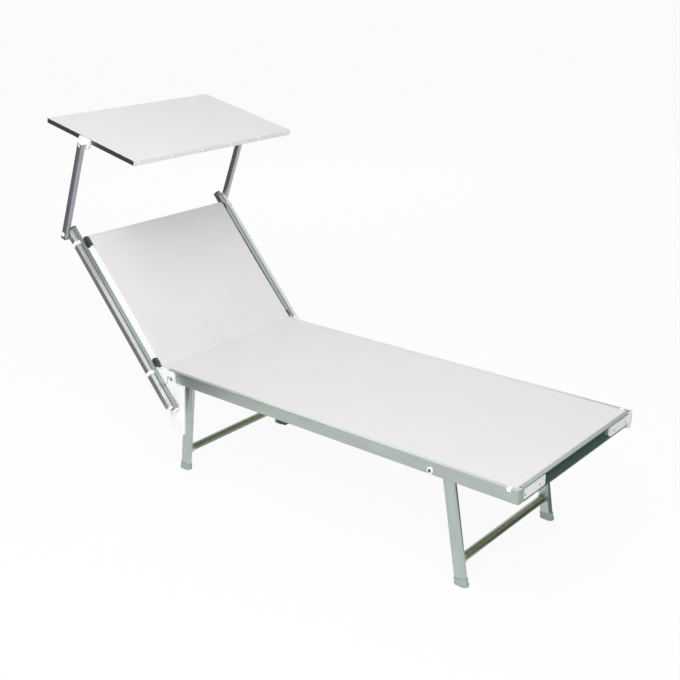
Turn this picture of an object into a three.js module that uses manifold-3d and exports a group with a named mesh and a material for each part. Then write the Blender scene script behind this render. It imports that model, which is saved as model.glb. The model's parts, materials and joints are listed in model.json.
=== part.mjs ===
// A beach sun lounger with a reclining back, two folding leg frames and a tilting canopy.
// Millimetres, +X to the foot end, +Y to the left of who lies on it, +Z up.
// Right hand pieces are modelled, and left hand ones are their mirror image.
import * as THREE from 'three';
import { mergeVertices } from 'three/addons/utils/BufferGeometryUtils.js';
import Module from 'manifold-3d';

const wasm = await Module();
wasm.setup();

// Clearances and facets
const GAP = 0.3; // between pieces that touch
const RUNNING_GAP = 0.4; // around what turns
const OVERRUN = 4; // cuts run this far past a face
const MERGE_DISTANCE = 1e-4;
const ROUND_SEGMENTS = 18;
const SMALL_SEGMENTS = 10;
const CORNER_SEGMENTS = 2;

// Seat frame
const SEAT_WIDTH = 620; // over the side rails
const SEAT_LENGTH = 1290; // foot face to the rear ends of the side rails
const SEAT_TOP = 391; // top of the rails above the ground
const RAIL_WIDTH = 25;
const RAIL_HEIGHT = 38;
const RAIL_WALL = 2;
const RAIL_CORNER = 1.5;
const RAIL_STRIP = 12; // bare strip outside of the fabric groove
const GROOVE_WIDTH = 2;
const GROOVE_DEPTH = 5;
const GROOVE_BORE = 6.4; // round channel under the groove
const INNER_STEP = 1.4; // the rail under the fabric is lower by this
const FOOT_LIP = 14; // lip of the foot rail in front of its groove
const FOOT_LIP_WALL = 2.5;
const FOOT_RECESS = 9; // depth of the open side of the foot rail
const END_CAP = 3;
const END_CAP_PLUG = 15;
const END_STOP_RADIUS = 9; // round stop under the left end cap
const END_STOP_DROP = 5;
const END_STOP_DEPTH = 11;
const FEED_NOTCH_X = 29; // from the foot face, where the fabric is fed into the groove
const FEED_NOTCH_LENGTH = 14;
const FEED_NOTCH_DEPTH = 4;

// Corner plates of the foot rail
const CORNER_PLATE_LENGTH = 107;
const CORNER_PLATE_SETBACK = 1.5; // behind the lips of the foot rail
const CORNER_PLATE_RADIUS = 5;
const CORNER_SCREW_INSETS = [107, 37]; // from the outside of the side rail
const CORNER_SCREW_DROP = 24; // under the top of the rail
const CORNER_SCREW = 4;
const CORNER_SCREW_HEAD = 8;
const CORNER_SCREW_HEAD_HEIGHT = 2.4;

// Seat fabric
const FABRIC = 1.2;
const WELT = 5.2; // cord sewn into the fabric's edge

// Cross tube half way along the seat, with a saddle under each rail
const MID_TUBE_SHARE = 0.6225; // of the seat's length, from the foot face
const MID_TUBE_DROP = 34; // centre under the top of the rails
const MID_TUBE = 25;
const TUBE_WALL = 1.5;
const SADDLE_LENGTH = 36;
const SADDLE_REACH = 61; // inwards from the rail's outer face
const SADDLE_EDGE = 3; // inside of the rail's outer face
const SADDLE_BELOW = 3.5; // under the tube
const SADDLE_RADIUS = 3;

// Leg axles, held in the rails by a hollow rivet at each end
const FRONT_AXLE_X = 266; // from the foot face
const REAR_AXLE_INSET = 18; // from the rear ends of the side rails
const AXLE_DROP = 26; // under the top of the rails
const AXLE = 20;
const AXLE_WALL = 1.6;
const RIVET = 8;
const RIVET_BORE = 3;
const RIVET_PLUG = 24; // inside the axle
const RIVET_HEAD = 15;
const RIVET_HEAD_HEIGHT = 3;

// Leg frames
const LEG_INSET = 78; // middle of a leg from the rail's outer face
const LEG_DEEP = 40; // oval tube, along the lounger
const LEG_THICK = 20; // oval tube, across
const LEG_WALL = 1.6;
const LEG_LEAN = 56; // foot out from under its axle
const STRETCHER = 25;
const STRETCHER_HEIGHT = 71;
const COLLAR = 31; // socket on the leg for the stretcher
const COLLAR_LENGTH = 10;
const FOOT_WALL = 1.7;
const FOOT_SLEEVE = 14;
const FOOT_SOLE = 7;
const FOOT_FLARE = 2.7; // sole wider than the tube, all round
const BRACKET_BUSH = 32; // leg bracket around the axle
const BRACKET_WEB = 8;
const BRACKET_LIP = 6;
const BRACKET_LIP_START = 18; // along the leg from the axle
const BRACKET_LIP_END = 46;
const BRACKET_LIP_REACH = 18; // across the leg

// Back: lengths are along its rails from the hinge, rises are square to them
const BACK_ANGLE = 49.5; // degrees above flat
const HINGE_SETBACK = 48; // behind the rear ends of the side rails
const HINGE_PIN = 8;
const HINGE_PIN_HEAD = 15;
const HINGE_PIN_HEAD_HEIGHT = 5;
const BACK_RAIL_WIDTH = 15;
const BACK_RAIL_HEIGHT = 22;
const BACK_RAIL_UP = 557;
const BACK_RAIL_DOWN = 131;
const BACK_TUBE = 26;
const BACK_TUBE_RISE = 8; // over the middle of the rails
const BACK_TUBE_LOW = 28;
const BACK_TUBE_HIGH = 501;
const BACK_FABRIC_INSET = 8; // inside of the side rails' outer faces
const BACK_FABRIC_WAIST = 3; // each side is drawn in by this at mid height
const WAIST_SEGMENTS = 10;
const FITTING_COLLAR = 29;
const FITTING_BOSS = 10;
const FITTING_SPIGOT = 20;
const FITTING_CHAMFER = 1.2;
const LOCK_PIN = 6;
const LOCK_RADIUS = 50; // from the hinge to the lock pin

// Hinge plates: lengths are from the hinge towards the foot
const PLATE_THICK = 6;
const PLATE_SIDE_GAP = 0.7; // to the back rail, which runs past it
const PLATE_EAR = 20; // radius around the hinge
const PLATE_BOSS_REACH = 15; // past the rear axle
const PLATE_LOBE_FRONT = 124;
const PLATE_LOBE_BACK = 47;
const PLATE_LOBE_DROP = 188; // under the hinge
const PLATE_LOBE_TAPER = 13;
const PLATE_NECK = 46; // under the hinge, where the ear meets the lobe
const PLATE_RADIUS = 12;
const PLATE_SHOULDER = 3; // under the rail
const PLATE_RIM = 9;
const PLATE_POCKET = 2.5;
const PLATE_POCKET_DROP = 27; // over the bottom of the lobe
const PLATE_HOLE = 5;
const PLATE_HOLE_EDGE = 15;
const PLATE_FLANGE = 5; // over the rear end of the rail
const PLATE_PLUG = 11; // into the rail
const NOTCH_COUNT = 4;
const NOTCH_RADIUS = 3.8;
const NOTCH_SHIFT = 2.6;

// Canopy support bars, clipped to the back rails
const BAR_UP = 545.7; // hinge to the arm's bolt
const BAR_DOWN = 119;
const BAR_CAP = 6;
const BAR_CAP_PLUG = 12;
const CLIP_WALL = 2;
const CLIP_LENGTH = 12;
const CLIP_LOW = 8;
const CLIP_HIGH = 501;
const ARM_SIDE_GAP = 0.6; // to the bar and the clamp, which the arm turns past

// Canopy arms
const ARM_LENGTH = 327; // bolt to bolt
const ARM_LEAN = 23.3; // degrees from upright
const ARM_DEEP = 23;
const ARM_THICK = 19;
const ARM_CORNER = 6;
const ARM_TAIL = 14; // past the lower bolt
const ARM_HEAD = 8; // past the upper bolt
const BOLT = 8;
const BOLT_HEAD = 15;
const BOLT_HEAD_HEIGHT = 4;
const BOLT_NUT_HEIGHT = 1.9;

// Canopy
const CANOPY_ANGLE = 12.5; // degrees down to the foot
const CANOPY_DEPTH = 424;
const CANOPY_TUBE = 15;
const CANOPY_WALL = 1.3;
const CANOPY_PIVOT_BACK = 197; // from the rear edge
const CANOPY_PIVOT_DROP = 8.3; // under the side tube
const CANOPY_FLAP = 17.5;
const CANOPY_SPIGOT = 20; // on the side tube, into a cross tube
const CLAMP_LENGTH = 52;
const CLAMP_BEHIND = 26; // of that, behind the pivot
const CLAMP_WALL = 7.3;
const CLAMP_BLOCK = 14; // across, around the pivot
const CLAMP_EAR = 13; // radius around the pivot
const CLAMP_RADIUS = 4;

// Heights and sides that follow from them
const HALF_WIDTH = SEAT_WIDTH / 2;
const RAIL_BOTTOM = SEAT_TOP - RAIL_HEIGHT;
const RAIL_INSIDE = HALF_WIDTH - RAIL_WIDTH;
const CROSS_HALF = RAIL_INSIDE - GAP; // half of what lies between the rails
const CORNER_SCREWS = CORNER_SCREW_INSETS.map((inset) => HALF_WIDTH - inset);
const SADDLE_INNER = HALF_WIDTH - SADDLE_REACH;
const LEG_SPREAD = HALF_WIDTH - LEG_INSET;
const MID_TUBE_X = SEAT_LENGTH * MID_TUBE_SHARE;
const REAR_AXLE_X = SEAT_LENGTH - REAR_AXLE_INSET;
const HINGE_X = SEAT_LENGTH + HINGE_SETBACK;
const BORE_RADIUS = GROOVE_BORE / 2;
const BORE_ENTRY = Math.sqrt(BORE_RADIUS ** 2 - (GROOVE_WIDTH / 2) ** 2);
const BORE_Z = SEAT_TOP - GROOVE_DEPTH - BORE_ENTRY;
const HOLLOW_TOP = BORE_Z - BORE_RADIUS - RAIL_WALL;
const INNER_TOP = SEAT_TOP - INNER_STEP;
const FABRIC_LOW = INNER_TOP + GAP;
const FABRIC_TOP = FABRIC_LOW + FABRIC;
const AXLE_Z = SEAT_TOP - AXLE_DROP;
const BACK_FABRIC_RISE = BACK_TUBE_RISE + BACK_TUBE / 2 + GAP + FABRIC;
const HINGE_Z = FABRIC_TOP - BACK_FABRIC_RISE; // seat and back are level when flat
const PLATE_IN = HALF_WIDTH + GAP;
const PLATE_OUT = PLATE_IN + PLATE_THICK;
const BACK_RAIL_IN = PLATE_OUT + PLATE_SIDE_GAP;
const BACK_RAIL_OUT = BACK_RAIL_IN + BACK_RAIL_WIDTH;
const BACK_FABRIC_HALF = HALF_WIDTH - BACK_FABRIC_INSET;
const BACK_TUBE_HALF = BACK_FABRIC_HALF + GAP;
const BAR_IN = BACK_RAIL_OUT + CLIP_WALL + GAP + GAP;
const BAR_OUT = BAR_IN + BACK_RAIL_WIDTH;
const ARM_IN = BAR_OUT + ARM_SIDE_GAP;
const ARM_OUT = ARM_IN + ARM_THICK;
const BACK_TURN = THREE.MathUtils.degToRad(BACK_ANGLE);
const ARM_TURN = THREE.MathUtils.degToRad(ARM_LEAN);
const CANOPY_TURN = THREE.MathUtils.degToRad(CANOPY_ANGLE);
const QUARTER = Math.PI / 2;

// Finishes
const finish = (color, roughness, metalness) =>
  new THREE.MeshStandardMaterial({ color, roughness, metalness });
const anodised = () => finish(0xa9b3ac, 0.38, 0.85);
const nylonWhite = () => finish(0xf2f3f0, 0.45, 0);
const nylonGrey = () => finish(0x9aa29d, 0.5, 0);
const nylonDark = () => finish(0x4c544f, 0.5, 0);
const steel = () => finish(0xc9ccc8, 0.3, 0.9);
const woven = () => finish(0xe5e3e1, 0.85, 0);

// Solids
function toSolid(geometry) {
  const bare = geometry.clone();
  bare.deleteAttribute('normal');
  bare.deleteAttribute('uv');
  const merged = mergeVertices(bare, MERGE_DISTANCE);
  return new wasm.Manifold(new wasm.Mesh({
    numProp: 3,
    vertProperties: merged.attributes.position.array,
    triVerts: merged.index.array,
  }));
}

function toGeometry(solid) {
  const data = solid.getMesh();
  const geometry = new THREE.BufferGeometry();
  const positions = new Float32Array(data.vertProperties);
  geometry.setAttribute('position', new THREE.BufferAttribute(positions, 3));
  geometry.setIndex(new THREE.BufferAttribute(new Uint32Array(data.triVerts), 1));
  return geometry;
}

const join = (...solids) => solids.reduce((sum, next) => sum.add(next));
const cut = (solid, ...tools) => tools.reduce((rest, tool) => rest.subtract(tool), solid);

// The same solid on the other side of the lounger
function mirrored(solid) {
  const geometry = toGeometry(solid);
  geometry.scale(1, -1, 1);
  const index = geometry.index.array;
  for (let i = 0; i < index.length; i += 3) {
    [index[i], index[i + 1]] = [index[i + 1], index[i]];
  }
  return toSolid(geometry);
}

const bothSides = (solid) => join(solid, mirrored(solid));

// Frames: an origin and two directions, u and v, in the plane of the side view
const sideways = (x, z) => new THREE.Vector3(x, 0, z);
const place = (frame, u, v, y = 0) => frame.origin.clone()
  .addScaledVector(frame.u, u)
  .addScaledVector(frame.v, v)
  .setY(y);

const seatFrame = { origin: sideways(0, 0), u: sideways(1, 0), v: sideways(0, 1) };
const backFrame = {
  origin: sideways(-HINGE_X, HINGE_Z),
  u: sideways(-Math.cos(BACK_TURN), Math.sin(BACK_TURN)),
  v: sideways(Math.sin(BACK_TURN), Math.cos(BACK_TURN)),
};
const armFrame = {
  origin: place(backFrame, BAR_UP, 0),
  u: sideways(Math.sin(ARM_TURN), Math.cos(ARM_TURN)),
  v: sideways(-Math.cos(ARM_TURN), Math.sin(ARM_TURN)),
};
const canopyFrame = {
  origin: place(armFrame, ARM_LENGTH, 0),
  u: sideways(Math.cos(CANOPY_TURN), -Math.sin(CANOPY_TURN)),
  v: sideways(Math.sin(CANOPY_TURN), Math.cos(CANOPY_TURN)),
};

// A leg's frame runs down the leg from its axle, and its v points to the side where it stops
function legFrame(axleX, lean) {
  const down = sideways(lean, -AXLE_Z).normalize();
  const stopSide = sideways(-down.z, down.x).multiplyScalar(Math.sign(lean));
  return { origin: sideways(-axleX, AXLE_Z), u: down, v: stopSide };
}

// True where u, v and the way to the right make a right handed set
const RIGHT = new THREE.Vector3(0, -1, 0);
const handed = (frame) => new THREE.Vector3().crossVectors(frame.v, RIGHT).dot(frame.u) > 0;

// Outlines
function arcPoints(x, y, radius, from, to, segments) {
  return Array.from({ length: segments + 1 }, (_, i) => {
    const angle = from + ((to - from) * i) / segments;
    return new THREE.Vector2(x + radius * Math.cos(angle), y + radius * Math.sin(angle));
  });
}

const circle = (radius, segments = ROUND_SEGMENTS) =>
  arcPoints(0, 0, radius, 0, 4 * QUARTER, segments).slice(0, -1);

function rectangle(x0, x1, y0, y1) {
  return [[x0, y0], [x1, y0], [x1, y1], [x0, y1]].map(([x, y]) => new THREE.Vector2(x, y));
}

function roundedBox(x0, x1, y0, y1, radius) {
  const centres = [
    [x1 - radius, y1 - radius],
    [x0 + radius, y1 - radius],
    [x0 + radius, y0 + radius],
    [x1 - radius, y0 + radius],
  ];
  return centres.flatMap(([x, y], i) =>
    arcPoints(x, y, radius, i * QUARTER, (i + 1) * QUARTER, CORNER_SEGMENTS));
}

// Corners given as x, y and radius, with straight lines between their round ends
function roundedOutline(corners) {
  const at = (i) => corners[(i + corners.length) % corners.length];
  return corners.flatMap(([x, y, radius], i) => {
    const here = new THREE.Vector2(x, y);
    const back = new THREE.Vector2(at(i - 1)[0], at(i - 1)[1]).sub(here);
    const ahead = new THREE.Vector2(at(i + 1)[0], at(i + 1)[1]).sub(here);
    const half = Math.acos(back.dot(ahead) / (back.length() * ahead.length())) / 2;
    const most = Math.min(back.length(), ahead.length()) / 2;
    const run = Math.min(radius / Math.tan(half), most);
    const start = here.clone().addScaledVector(back.normalize(), run);
    const end = here.clone().addScaledVector(ahead.normalize(), run);
    return new THREE.QuadraticBezierCurve(start, here, end).getPoints(2 * CORNER_SEGMENTS);
  });
}

// Oval tube section with flat sides, long way along y
function oval(across, along) {
  const radius = across / 2;
  const rise = along / 2 - radius;
  return [
    ...arcPoints(0, rise, radius, 0, 2 * QUARTER, ROUND_SEGMENTS / 2),
    ...arcPoints(0, -rise, radius, 2 * QUARTER, 4 * QUARTER, ROUND_SEGMENTS / 2),
  ];
}

function outline(points, ...holes) {
  const shape = new THREE.Shape(points);
  shape.holes = holes.map((hole) => new THREE.Path(hole));
  return shape;
}

// Extrudes an outline from start along w, with the outline's own y along v
function prism(shape, start, w, v, length) {
  const geometry = new THREE.ExtrudeGeometry(shape, { depth: length, bevelEnabled: false });
  const u = new THREE.Vector3().crossVectors(v, w);
  geometry.applyMatrix4(new THREE.Matrix4().makeBasis(u, v, w).setPosition(start));
  return toSolid(geometry);
}

// A side view outline in a frame's u and v, as thick as y0 to y1
function plate(shape, frame, y0, y1) {
  return handed(frame)
    ? prism(shape, place(frame, 0, 0, y1), RIGHT, frame.v, y1 - y0)
    : prism(shape, place(frame, 0, 0, y0), RIGHT.clone().negate(), frame.v, y1 - y0);
}

// A section in y and v, run along a frame's u from u0 to u1
function bar(shape, frame, y, u0, u1, v = 0) {
  const forward = new THREE.Vector3().crossVectors(frame.v, frame.u).y > 0;
  return forward
    ? prism(shape, place(frame, u0, v, y), frame.u, frame.v, u1 - u0)
    : prism(shape, place(frame, u1, v, y), frame.u.clone().negate(), frame.v, u1 - u0);
}

function block(x0, x1, y0, y1, z0, z1) {
  const geometry = new THREE.BoxGeometry(x1 - x0, y1 - y0, z1 - z0);
  geometry.translate((x0 + x1) / 2, (y0 + y1) / 2, (z0 + z1) / 2);
  return toSolid(geometry);
}

// Turned about an axis across the lounger: radius and y, from low y to high y
function turned(profile, centre, segments = ROUND_SEGMENTS) {
  const points = profile.map(([radius, y]) => new THREE.Vector2(radius, y));
  if (points[0].x > 0) points.push(points[0].clone());
  const geometry = new THREE.LatheGeometry(points, segments);
  geometry.translate(centre.x, centre.y, centre.z);
  return toSolid(geometry);
}

const rod = (radius, centre, y0, y1, segments = ROUND_SEGMENTS) =>
  turned([[0, y0], [radius, y0], [radius, y1], [0, y1]], centre, segments);
const pipe = (radius, wall, centre, y0, y1) => turned(
  [[radius, y0], [radius, y1], [radius - wall, y1], [radius - wall, y0]],
  centre,
);

// Hole across a right hand wall between its outer and inner face
const through = (radius, centre, outer, inner) =>
  rod(radius, centre, -outer - OVERRUN, OVERRUN - inner, SMALL_SEGMENTS);

// Rectangular tube with small round corners, outer side y0, inner side y1
function rectTube(frame, y0, y1, height, wall, u0, u1, corner = wall) {
  const half = height / 2;
  const shape = outline(
    roundedBox(y0, y1, -half, half, corner),
    roundedBox(y0 + wall, y1 - wall, wall - half, half - wall, corner - wall + wall / 3),
  );
  return bar(shape, frame, 0, u0, u1);
}

// The assembly
const lounger = new THREE.Group();

function add(name, solid, material) {
  const piece = new THREE.Mesh(toGeometry(solid), material);
  piece.name = name;
  lounger.add(piece);
}

function addPair(name, solid, makeMaterial) {
  add(`${name}_right`, solid, makeMaterial());
  add(`${name}_left`, mirrored(solid), makeMaterial());
}

// Side rails: a hollow extrusion with the fabric's groove along its top
const frontAxle = sideways(-FRONT_AXLE_X, AXLE_Z);
const rearAxle = sideways(-REAR_AXLE_X, AXLE_Z);

// Round channel under a groove, from the wall on its high side round to the other
function grooveBore(middle) {
  const entry = Math.asin(BORE_ENTRY / BORE_RADIUS);
  return arcPoints(middle, BORE_Z, BORE_RADIUS, entry, -2 * QUARTER - entry, SMALL_SEGMENTS);
}

function sideRail() {
  const outer = -HALF_WIDTH;
  const inner = -RAIL_INSIDE;
  const slot = outer + RAIL_STRIP;
  const shape = outline(
    [
      new THREE.Vector2(outer, RAIL_BOTTOM),
      new THREE.Vector2(inner, RAIL_BOTTOM),
      new THREE.Vector2(inner, INNER_TOP),
      new THREE.Vector2(slot + GROOVE_WIDTH, INNER_TOP),
      ...grooveBore(slot + GROOVE_WIDTH / 2),
      new THREE.Vector2(slot, SEAT_TOP),
      ...arcPoints(outer + RAIL_CORNER, SEAT_TOP - RAIL_CORNER, RAIL_CORNER, QUARTER,
        2 * QUARTER, CORNER_SEGMENTS),
    ],
    roundedBox(outer + RAIL_WALL, inner - RAIL_WALL, RAIL_BOTTOM + RAIL_WALL, HOLLOW_TOP,
      RAIL_CORNER),
  );
  const notch = block(
    -FEED_NOTCH_X - FEED_NOTCH_LENGTH / 2, FEED_NOTCH_LENGTH / 2 - FEED_NOTCH_X,
    outer - OVERRUN, slot + GAP,
    SEAT_TOP - FEED_NOTCH_DEPTH, SEAT_TOP + OVERRUN,
  );
  return cut(
    bar(shape, seatFrame, 0, -SEAT_LENGTH, -END_CAP - GAP),
    through(RIVET / 2 + GAP, frontAxle, HALF_WIDTH, RAIL_INSIDE),
    through(RIVET / 2 + GAP, rearAxle, HALF_WIDTH, RAIL_INSIDE),
    notch,
  );
}

// A plug that fits the hollow of a side rail
function railPlug(x0, x1) {
  const inset = RAIL_WALL + GAP;
  const section = roundedBox(inset - HALF_WIDTH, -RAIL_INSIDE - inset, RAIL_BOTTOM + inset,
    HOLLOW_TOP - GAP, RAIL_CORNER);
  return bar(outline(section), seatFrame, 0, x0, x1);
}

// End caps of the side rails, and the round stop that the left one has under it
function endCap() {
  const face = plate(outline(roundedBox(-END_CAP, 0, RAIL_BOTTOM, SEAT_TOP, END_CAP / 3)),
    seatFrame, -HALF_WIDTH, -RAIL_INSIDE);
  return join(face, railPlug(-END_CAP - END_CAP_PLUG, -END_CAP / 2));
}

function endStop() {
  const middle = RAIL_WIDTH / 2 - HALF_WIDTH;
  const low = RAIL_BOTTOM - END_STOP_DROP - END_STOP_RADIUS;
  const stop = (top) => outline(roundedBox(middle - END_STOP_RADIUS,
    middle + END_STOP_RADIUS, low, top, END_STOP_RADIUS / 2));
  return join(
    bar(stop(RAIL_BOTTOM - GAP), seatFrame, 0, -END_STOP_DEPTH, 0),
    bar(stop(RAIL_BOTTOM + END_CAP), seatFrame, 0, -END_CAP, 0),
  );
}

// Foot rail: open to the foot, a box behind that, and a groove in the top
const screwZ = SEAT_TOP - CORNER_SCREW_DROP;
const screwBore = (diameter, y, x0, x1) =>
  bar(outline(circle(diameter / 2 + GAP, SMALL_SEGMENTS)), seatFrame, y, x0, x1, screwZ);

function footRail() {
  const shape = outline(
    [
      new THREE.Vector2(-RAIL_WIDTH, RAIL_BOTTOM),
      new THREE.Vector2(0, RAIL_BOTTOM),
      new THREE.Vector2(0, RAIL_BOTTOM + FOOT_LIP_WALL),
      new THREE.Vector2(-FOOT_RECESS, RAIL_BOTTOM + FOOT_LIP_WALL),
      new THREE.Vector2(-FOOT_RECESS, SEAT_TOP - FOOT_LIP_WALL),
      new THREE.Vector2(0, SEAT_TOP - FOOT_LIP_WALL),
      ...arcPoints(-RAIL_CORNER, SEAT_TOP - RAIL_CORNER, RAIL_CORNER, 0, QUARTER,
        CORNER_SEGMENTS),
      new THREE.Vector2(-FOOT_LIP, SEAT_TOP),
      ...grooveBore(-FOOT_LIP - GROOVE_WIDTH / 2),
      new THREE.Vector2(-FOOT_LIP - GROOVE_WIDTH, INNER_TOP),
      new THREE.Vector2(-RAIL_WIDTH, INNER_TOP),
    ],
    roundedBox(RAIL_WALL - RAIL_WIDTH, -FOOT_RECESS - RAIL_WALL, RAIL_BOTTOM + RAIL_WALL,
      HOLLOW_TOP, RAIL_CORNER),
  );
  const holes = CORNER_SCREWS.flatMap((y) => [y, -y]).map((y) =>
    screwBore(CORNER_SCREW, y, -FOOT_RECESS - RAIL_WALL - OVERRUN, OVERRUN - FOOT_RECESS));
  return cut(plate(shape, seatFrame, -CROSS_HALF, CROSS_HALF), ...holes);
}

// Plates in the ends of the foot rail, with room for sunk screw heads
function cornerPlate() {
  const outer = GAP - CROSS_HALF;
  const back = GAP - FOOT_RECESS;
  const front = -CORNER_PLATE_SETBACK;
  const body = bar(outline(roundedBox(
    outer,
    outer + CORNER_PLATE_LENGTH,
    RAIL_BOTTOM + FOOT_LIP_WALL + GAP,
    SEAT_TOP - FOOT_LIP_WALL - GAP,
    CORNER_PLATE_RADIUS,
  )), seatFrame, 0, back, front);
  const holes = CORNER_SCREWS.flatMap((y) => [
    screwBore(CORNER_SCREW_HEAD, -y, front - CORNER_SCREW_HEAD_HEIGHT, front + OVERRUN),
    screwBore(CORNER_SCREW, -y, back - OVERRUN, front + OVERRUN),
  ]);
  return cut(body, ...holes);
}

// Seat fabric: a tight sheet whose three held edges turn down into the grooves
function seatFabric() {
  const sleeve = place(backFrame, BACK_TUBE_LOW, BACK_TUBE_RISE);
  const reach = BACK_TUBE / 2 + GAP + FABRIC;
  const drop = sleeve.z - FABRIC_LOW - FABRIC / 2;
  const head = sleeve.x + Math.sqrt(reach ** 2 - drop ** 2) + 2 * GAP;
  const slack = (GROOVE_WIDTH - FABRIC) / 2;
  const foot = -FOOT_LIP - slack;
  const side = RAIL_STRIP + slack - HALF_WIDTH;
  const rear = GAP - SEAT_LENGTH;
  const half = CROSS_HALF - GAP;
  const welt = outline(circle(WELT / 2, SMALL_SEGMENTS));
  const sideHem = join(
    block(rear, foot, side, side + FABRIC, BORE_Z, FABRIC_TOP),
    bar(welt, seatFrame, side + FABRIC / 2, rear, -END_CAP - 2 * GAP, BORE_Z),
  );
  return join(
    block(head, foot, side, -side, FABRIC_LOW, FABRIC_TOP),
    bothSides(sideHem),
    block(foot - FABRIC, foot, -half, half, BORE_Z, FABRIC_TOP),
    rod(WELT / 2, sideways(foot - FABRIC / 2, BORE_Z), -half, half, SMALL_SEGMENTS),
  );
}

// Cross tube with a saddle at each end, which holds it under the rail
function midTube() {
  const centre = sideways(-MID_TUBE_X, SEAT_TOP - MID_TUBE_DROP);
  const low = centre.z - MID_TUBE / 2 - SADDLE_BELOW;
  const half = SADDLE_LENGTH / 2;
  const saddle = plate(
    outline(roundedBox(centre.x - half, centre.x + half, low, RAIL_BOTTOM - GAP, SADDLE_RADIUS)),
    seatFrame, SADDLE_EDGE - HALF_WIDTH, -SADDLE_INNER,
  );
  const seat = rod((MID_TUBE - TUBE_WALL) / 2, centre, -CROSS_HALF, OVERRUN - SADDLE_INNER);
  return join(
    pipe(MID_TUBE / 2, TUBE_WALL, centre, -CROSS_HALF, CROSS_HALF),
    bothSides(cut(saddle, seat)),
  );
}

// Leg axle: a tube, with a hollow rivet in each end that runs out through the rail
function axle(centre, headFace) {
  const fit = (AXLE - AXLE_WALL) / 2;
  const rivet = turned([
    [0, -headFace - RIVET_HEAD_HEIGHT],
    [RIVET_HEAD / 2, -headFace - RIVET_HEAD_HEIGHT],
    [RIVET_HEAD / 2, -headFace],
    [RIVET / 2, -headFace],
    [RIVET / 2, -CROSS_HALF],
    [fit, -CROSS_HALF],
    [fit, RIVET_PLUG - CROSS_HALF],
    [0, RIVET_PLUG - CROSS_HALF],
  ], centre, SMALL_SEGMENTS);
  const tube = pipe(AXLE / 2, AXLE_WALL, centre, -CROSS_HALF, CROSS_HALF);
  const end = headFace + RIVET_HEAD_HEIGHT + OVERRUN;
  return cut(join(tube, bothSides(rivet)), rod(RIVET_BORE / 2, centre, -end, end,
    SMALL_SEGMENTS));
}

// Leg: oval tube, round at the top about its axle, with a socket for the stretcher
const legLength = (frame, height) => (AXLE_Z - height) / -frame.u.z;
const stretcherCentre = (frame) => place(frame, legLength(frame, STRETCHER_HEIGHT), 0);
const LEG_INNER = LEG_SPREAD - LEG_THICK / 2;
const LEG_OUTER = LEG_SPREAD + LEG_THICK / 2;

function leg(frame) {
  const length = legLength(frame, FOOT_SOLE);
  const section = outline(
    oval(LEG_THICK, LEG_DEEP),
    oval(LEG_THICK - 2 * LEG_WALL, LEG_DEEP - 2 * LEG_WALL),
  );
  const top = LEG_DEEP / 2;
  const tube = bar(section, frame, -LEG_SPREAD, -top, length);
  const roundTop = join(
    rod(top, frame.origin, -LEG_OUTER - OVERRUN, OVERRUN - LEG_INNER),
    bar(outline(rectangle(-LEG_THICK, LEG_THICK, -LEG_DEEP, LEG_DEEP)), frame, -LEG_SPREAD, 0,
      length + OVERRUN),
  );
  const axleHole = rod(AXLE / 2 + RUNNING_GAP, frame.origin, -LEG_OUTER - OVERRUN,
    OVERRUN - LEG_INNER);
  const collar = pipe(COLLAR / 2, (COLLAR - STRETCHER) / 2 - GAP, stretcherCentre(frame),
    -LEG_INNER - LEG_WALL, COLLAR_LENGTH - LEG_INNER);
  return join(cut(tube.intersect(roundTop), axleHole), collar);
}

// Foot: a sleeve around the end of the leg and a flared sole that is flat on the ground
function legFoot(frame) {
  const length = legLength(frame, FOOT_SOLE);
  const grown = (extra) => outline(oval(LEG_THICK + 2 * extra, LEG_DEEP + 2 * extra));
  const sleeve = bar(grown(FOOT_WALL), frame, -LEG_SPREAD, length - FOOT_SLEEVE,
    length + FOOT_SOLE + OVERRUN);
  const pocket = bar(grown(GAP), frame, -LEG_SPREAD, length - FOOT_SLEEVE - OVERRUN,
    length + GAP);
  const below = block(-2 * SEAT_LENGTH, SEAT_LENGTH, -SEAT_WIDTH, SEAT_WIDTH, -SEAT_TOP, 0);
  const sole = prism(grown(FOOT_FLARE), place(frame, legLength(frame, 0), 0, -LEG_SPREAD),
    sideways(0, 1), sideways(1, 0), FOOT_SOLE);
  return cut(join(sleeve, sole), pocket, below);
}

// Bracket on the rail at a leg's axle: a bush, a web beside the leg, a lip that stops it
function legBracket(frame) {
  const inner = -LEG_OUTER - GAP;
  const radius = BRACKET_BUSH / 2;
  const near = LEG_DEEP / 2 + GAP;
  const far = near + BRACKET_LIP;
  const web = [
    [-radius / 2, -radius / 2],
    [-radius / 2, radius / 2],
    [BRACKET_LIP_START, far],
    [BRACKET_LIP_END, far],
    [BRACKET_LIP_END, near - BRACKET_LIP],
    [radius, -radius / 2],
  ].map(([u, v]) => new THREE.Vector2(u, v));
  const lip = rectangle(BRACKET_LIP_START, BRACKET_LIP_END, near, far);
  return cut(
    join(
      rod(radius, frame.origin, -CROSS_HALF, inner),
      plate(outline(web), frame, inner - BRACKET_WEB, inner),
      plate(outline(lip), frame, inner - BRACKET_WEB, inner + BRACKET_LIP_REACH),
    ),
    rod(AXLE / 2 + GAP, frame.origin, -CROSS_HALF - OVERRUN, inner + OVERRUN),
  );
}

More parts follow.
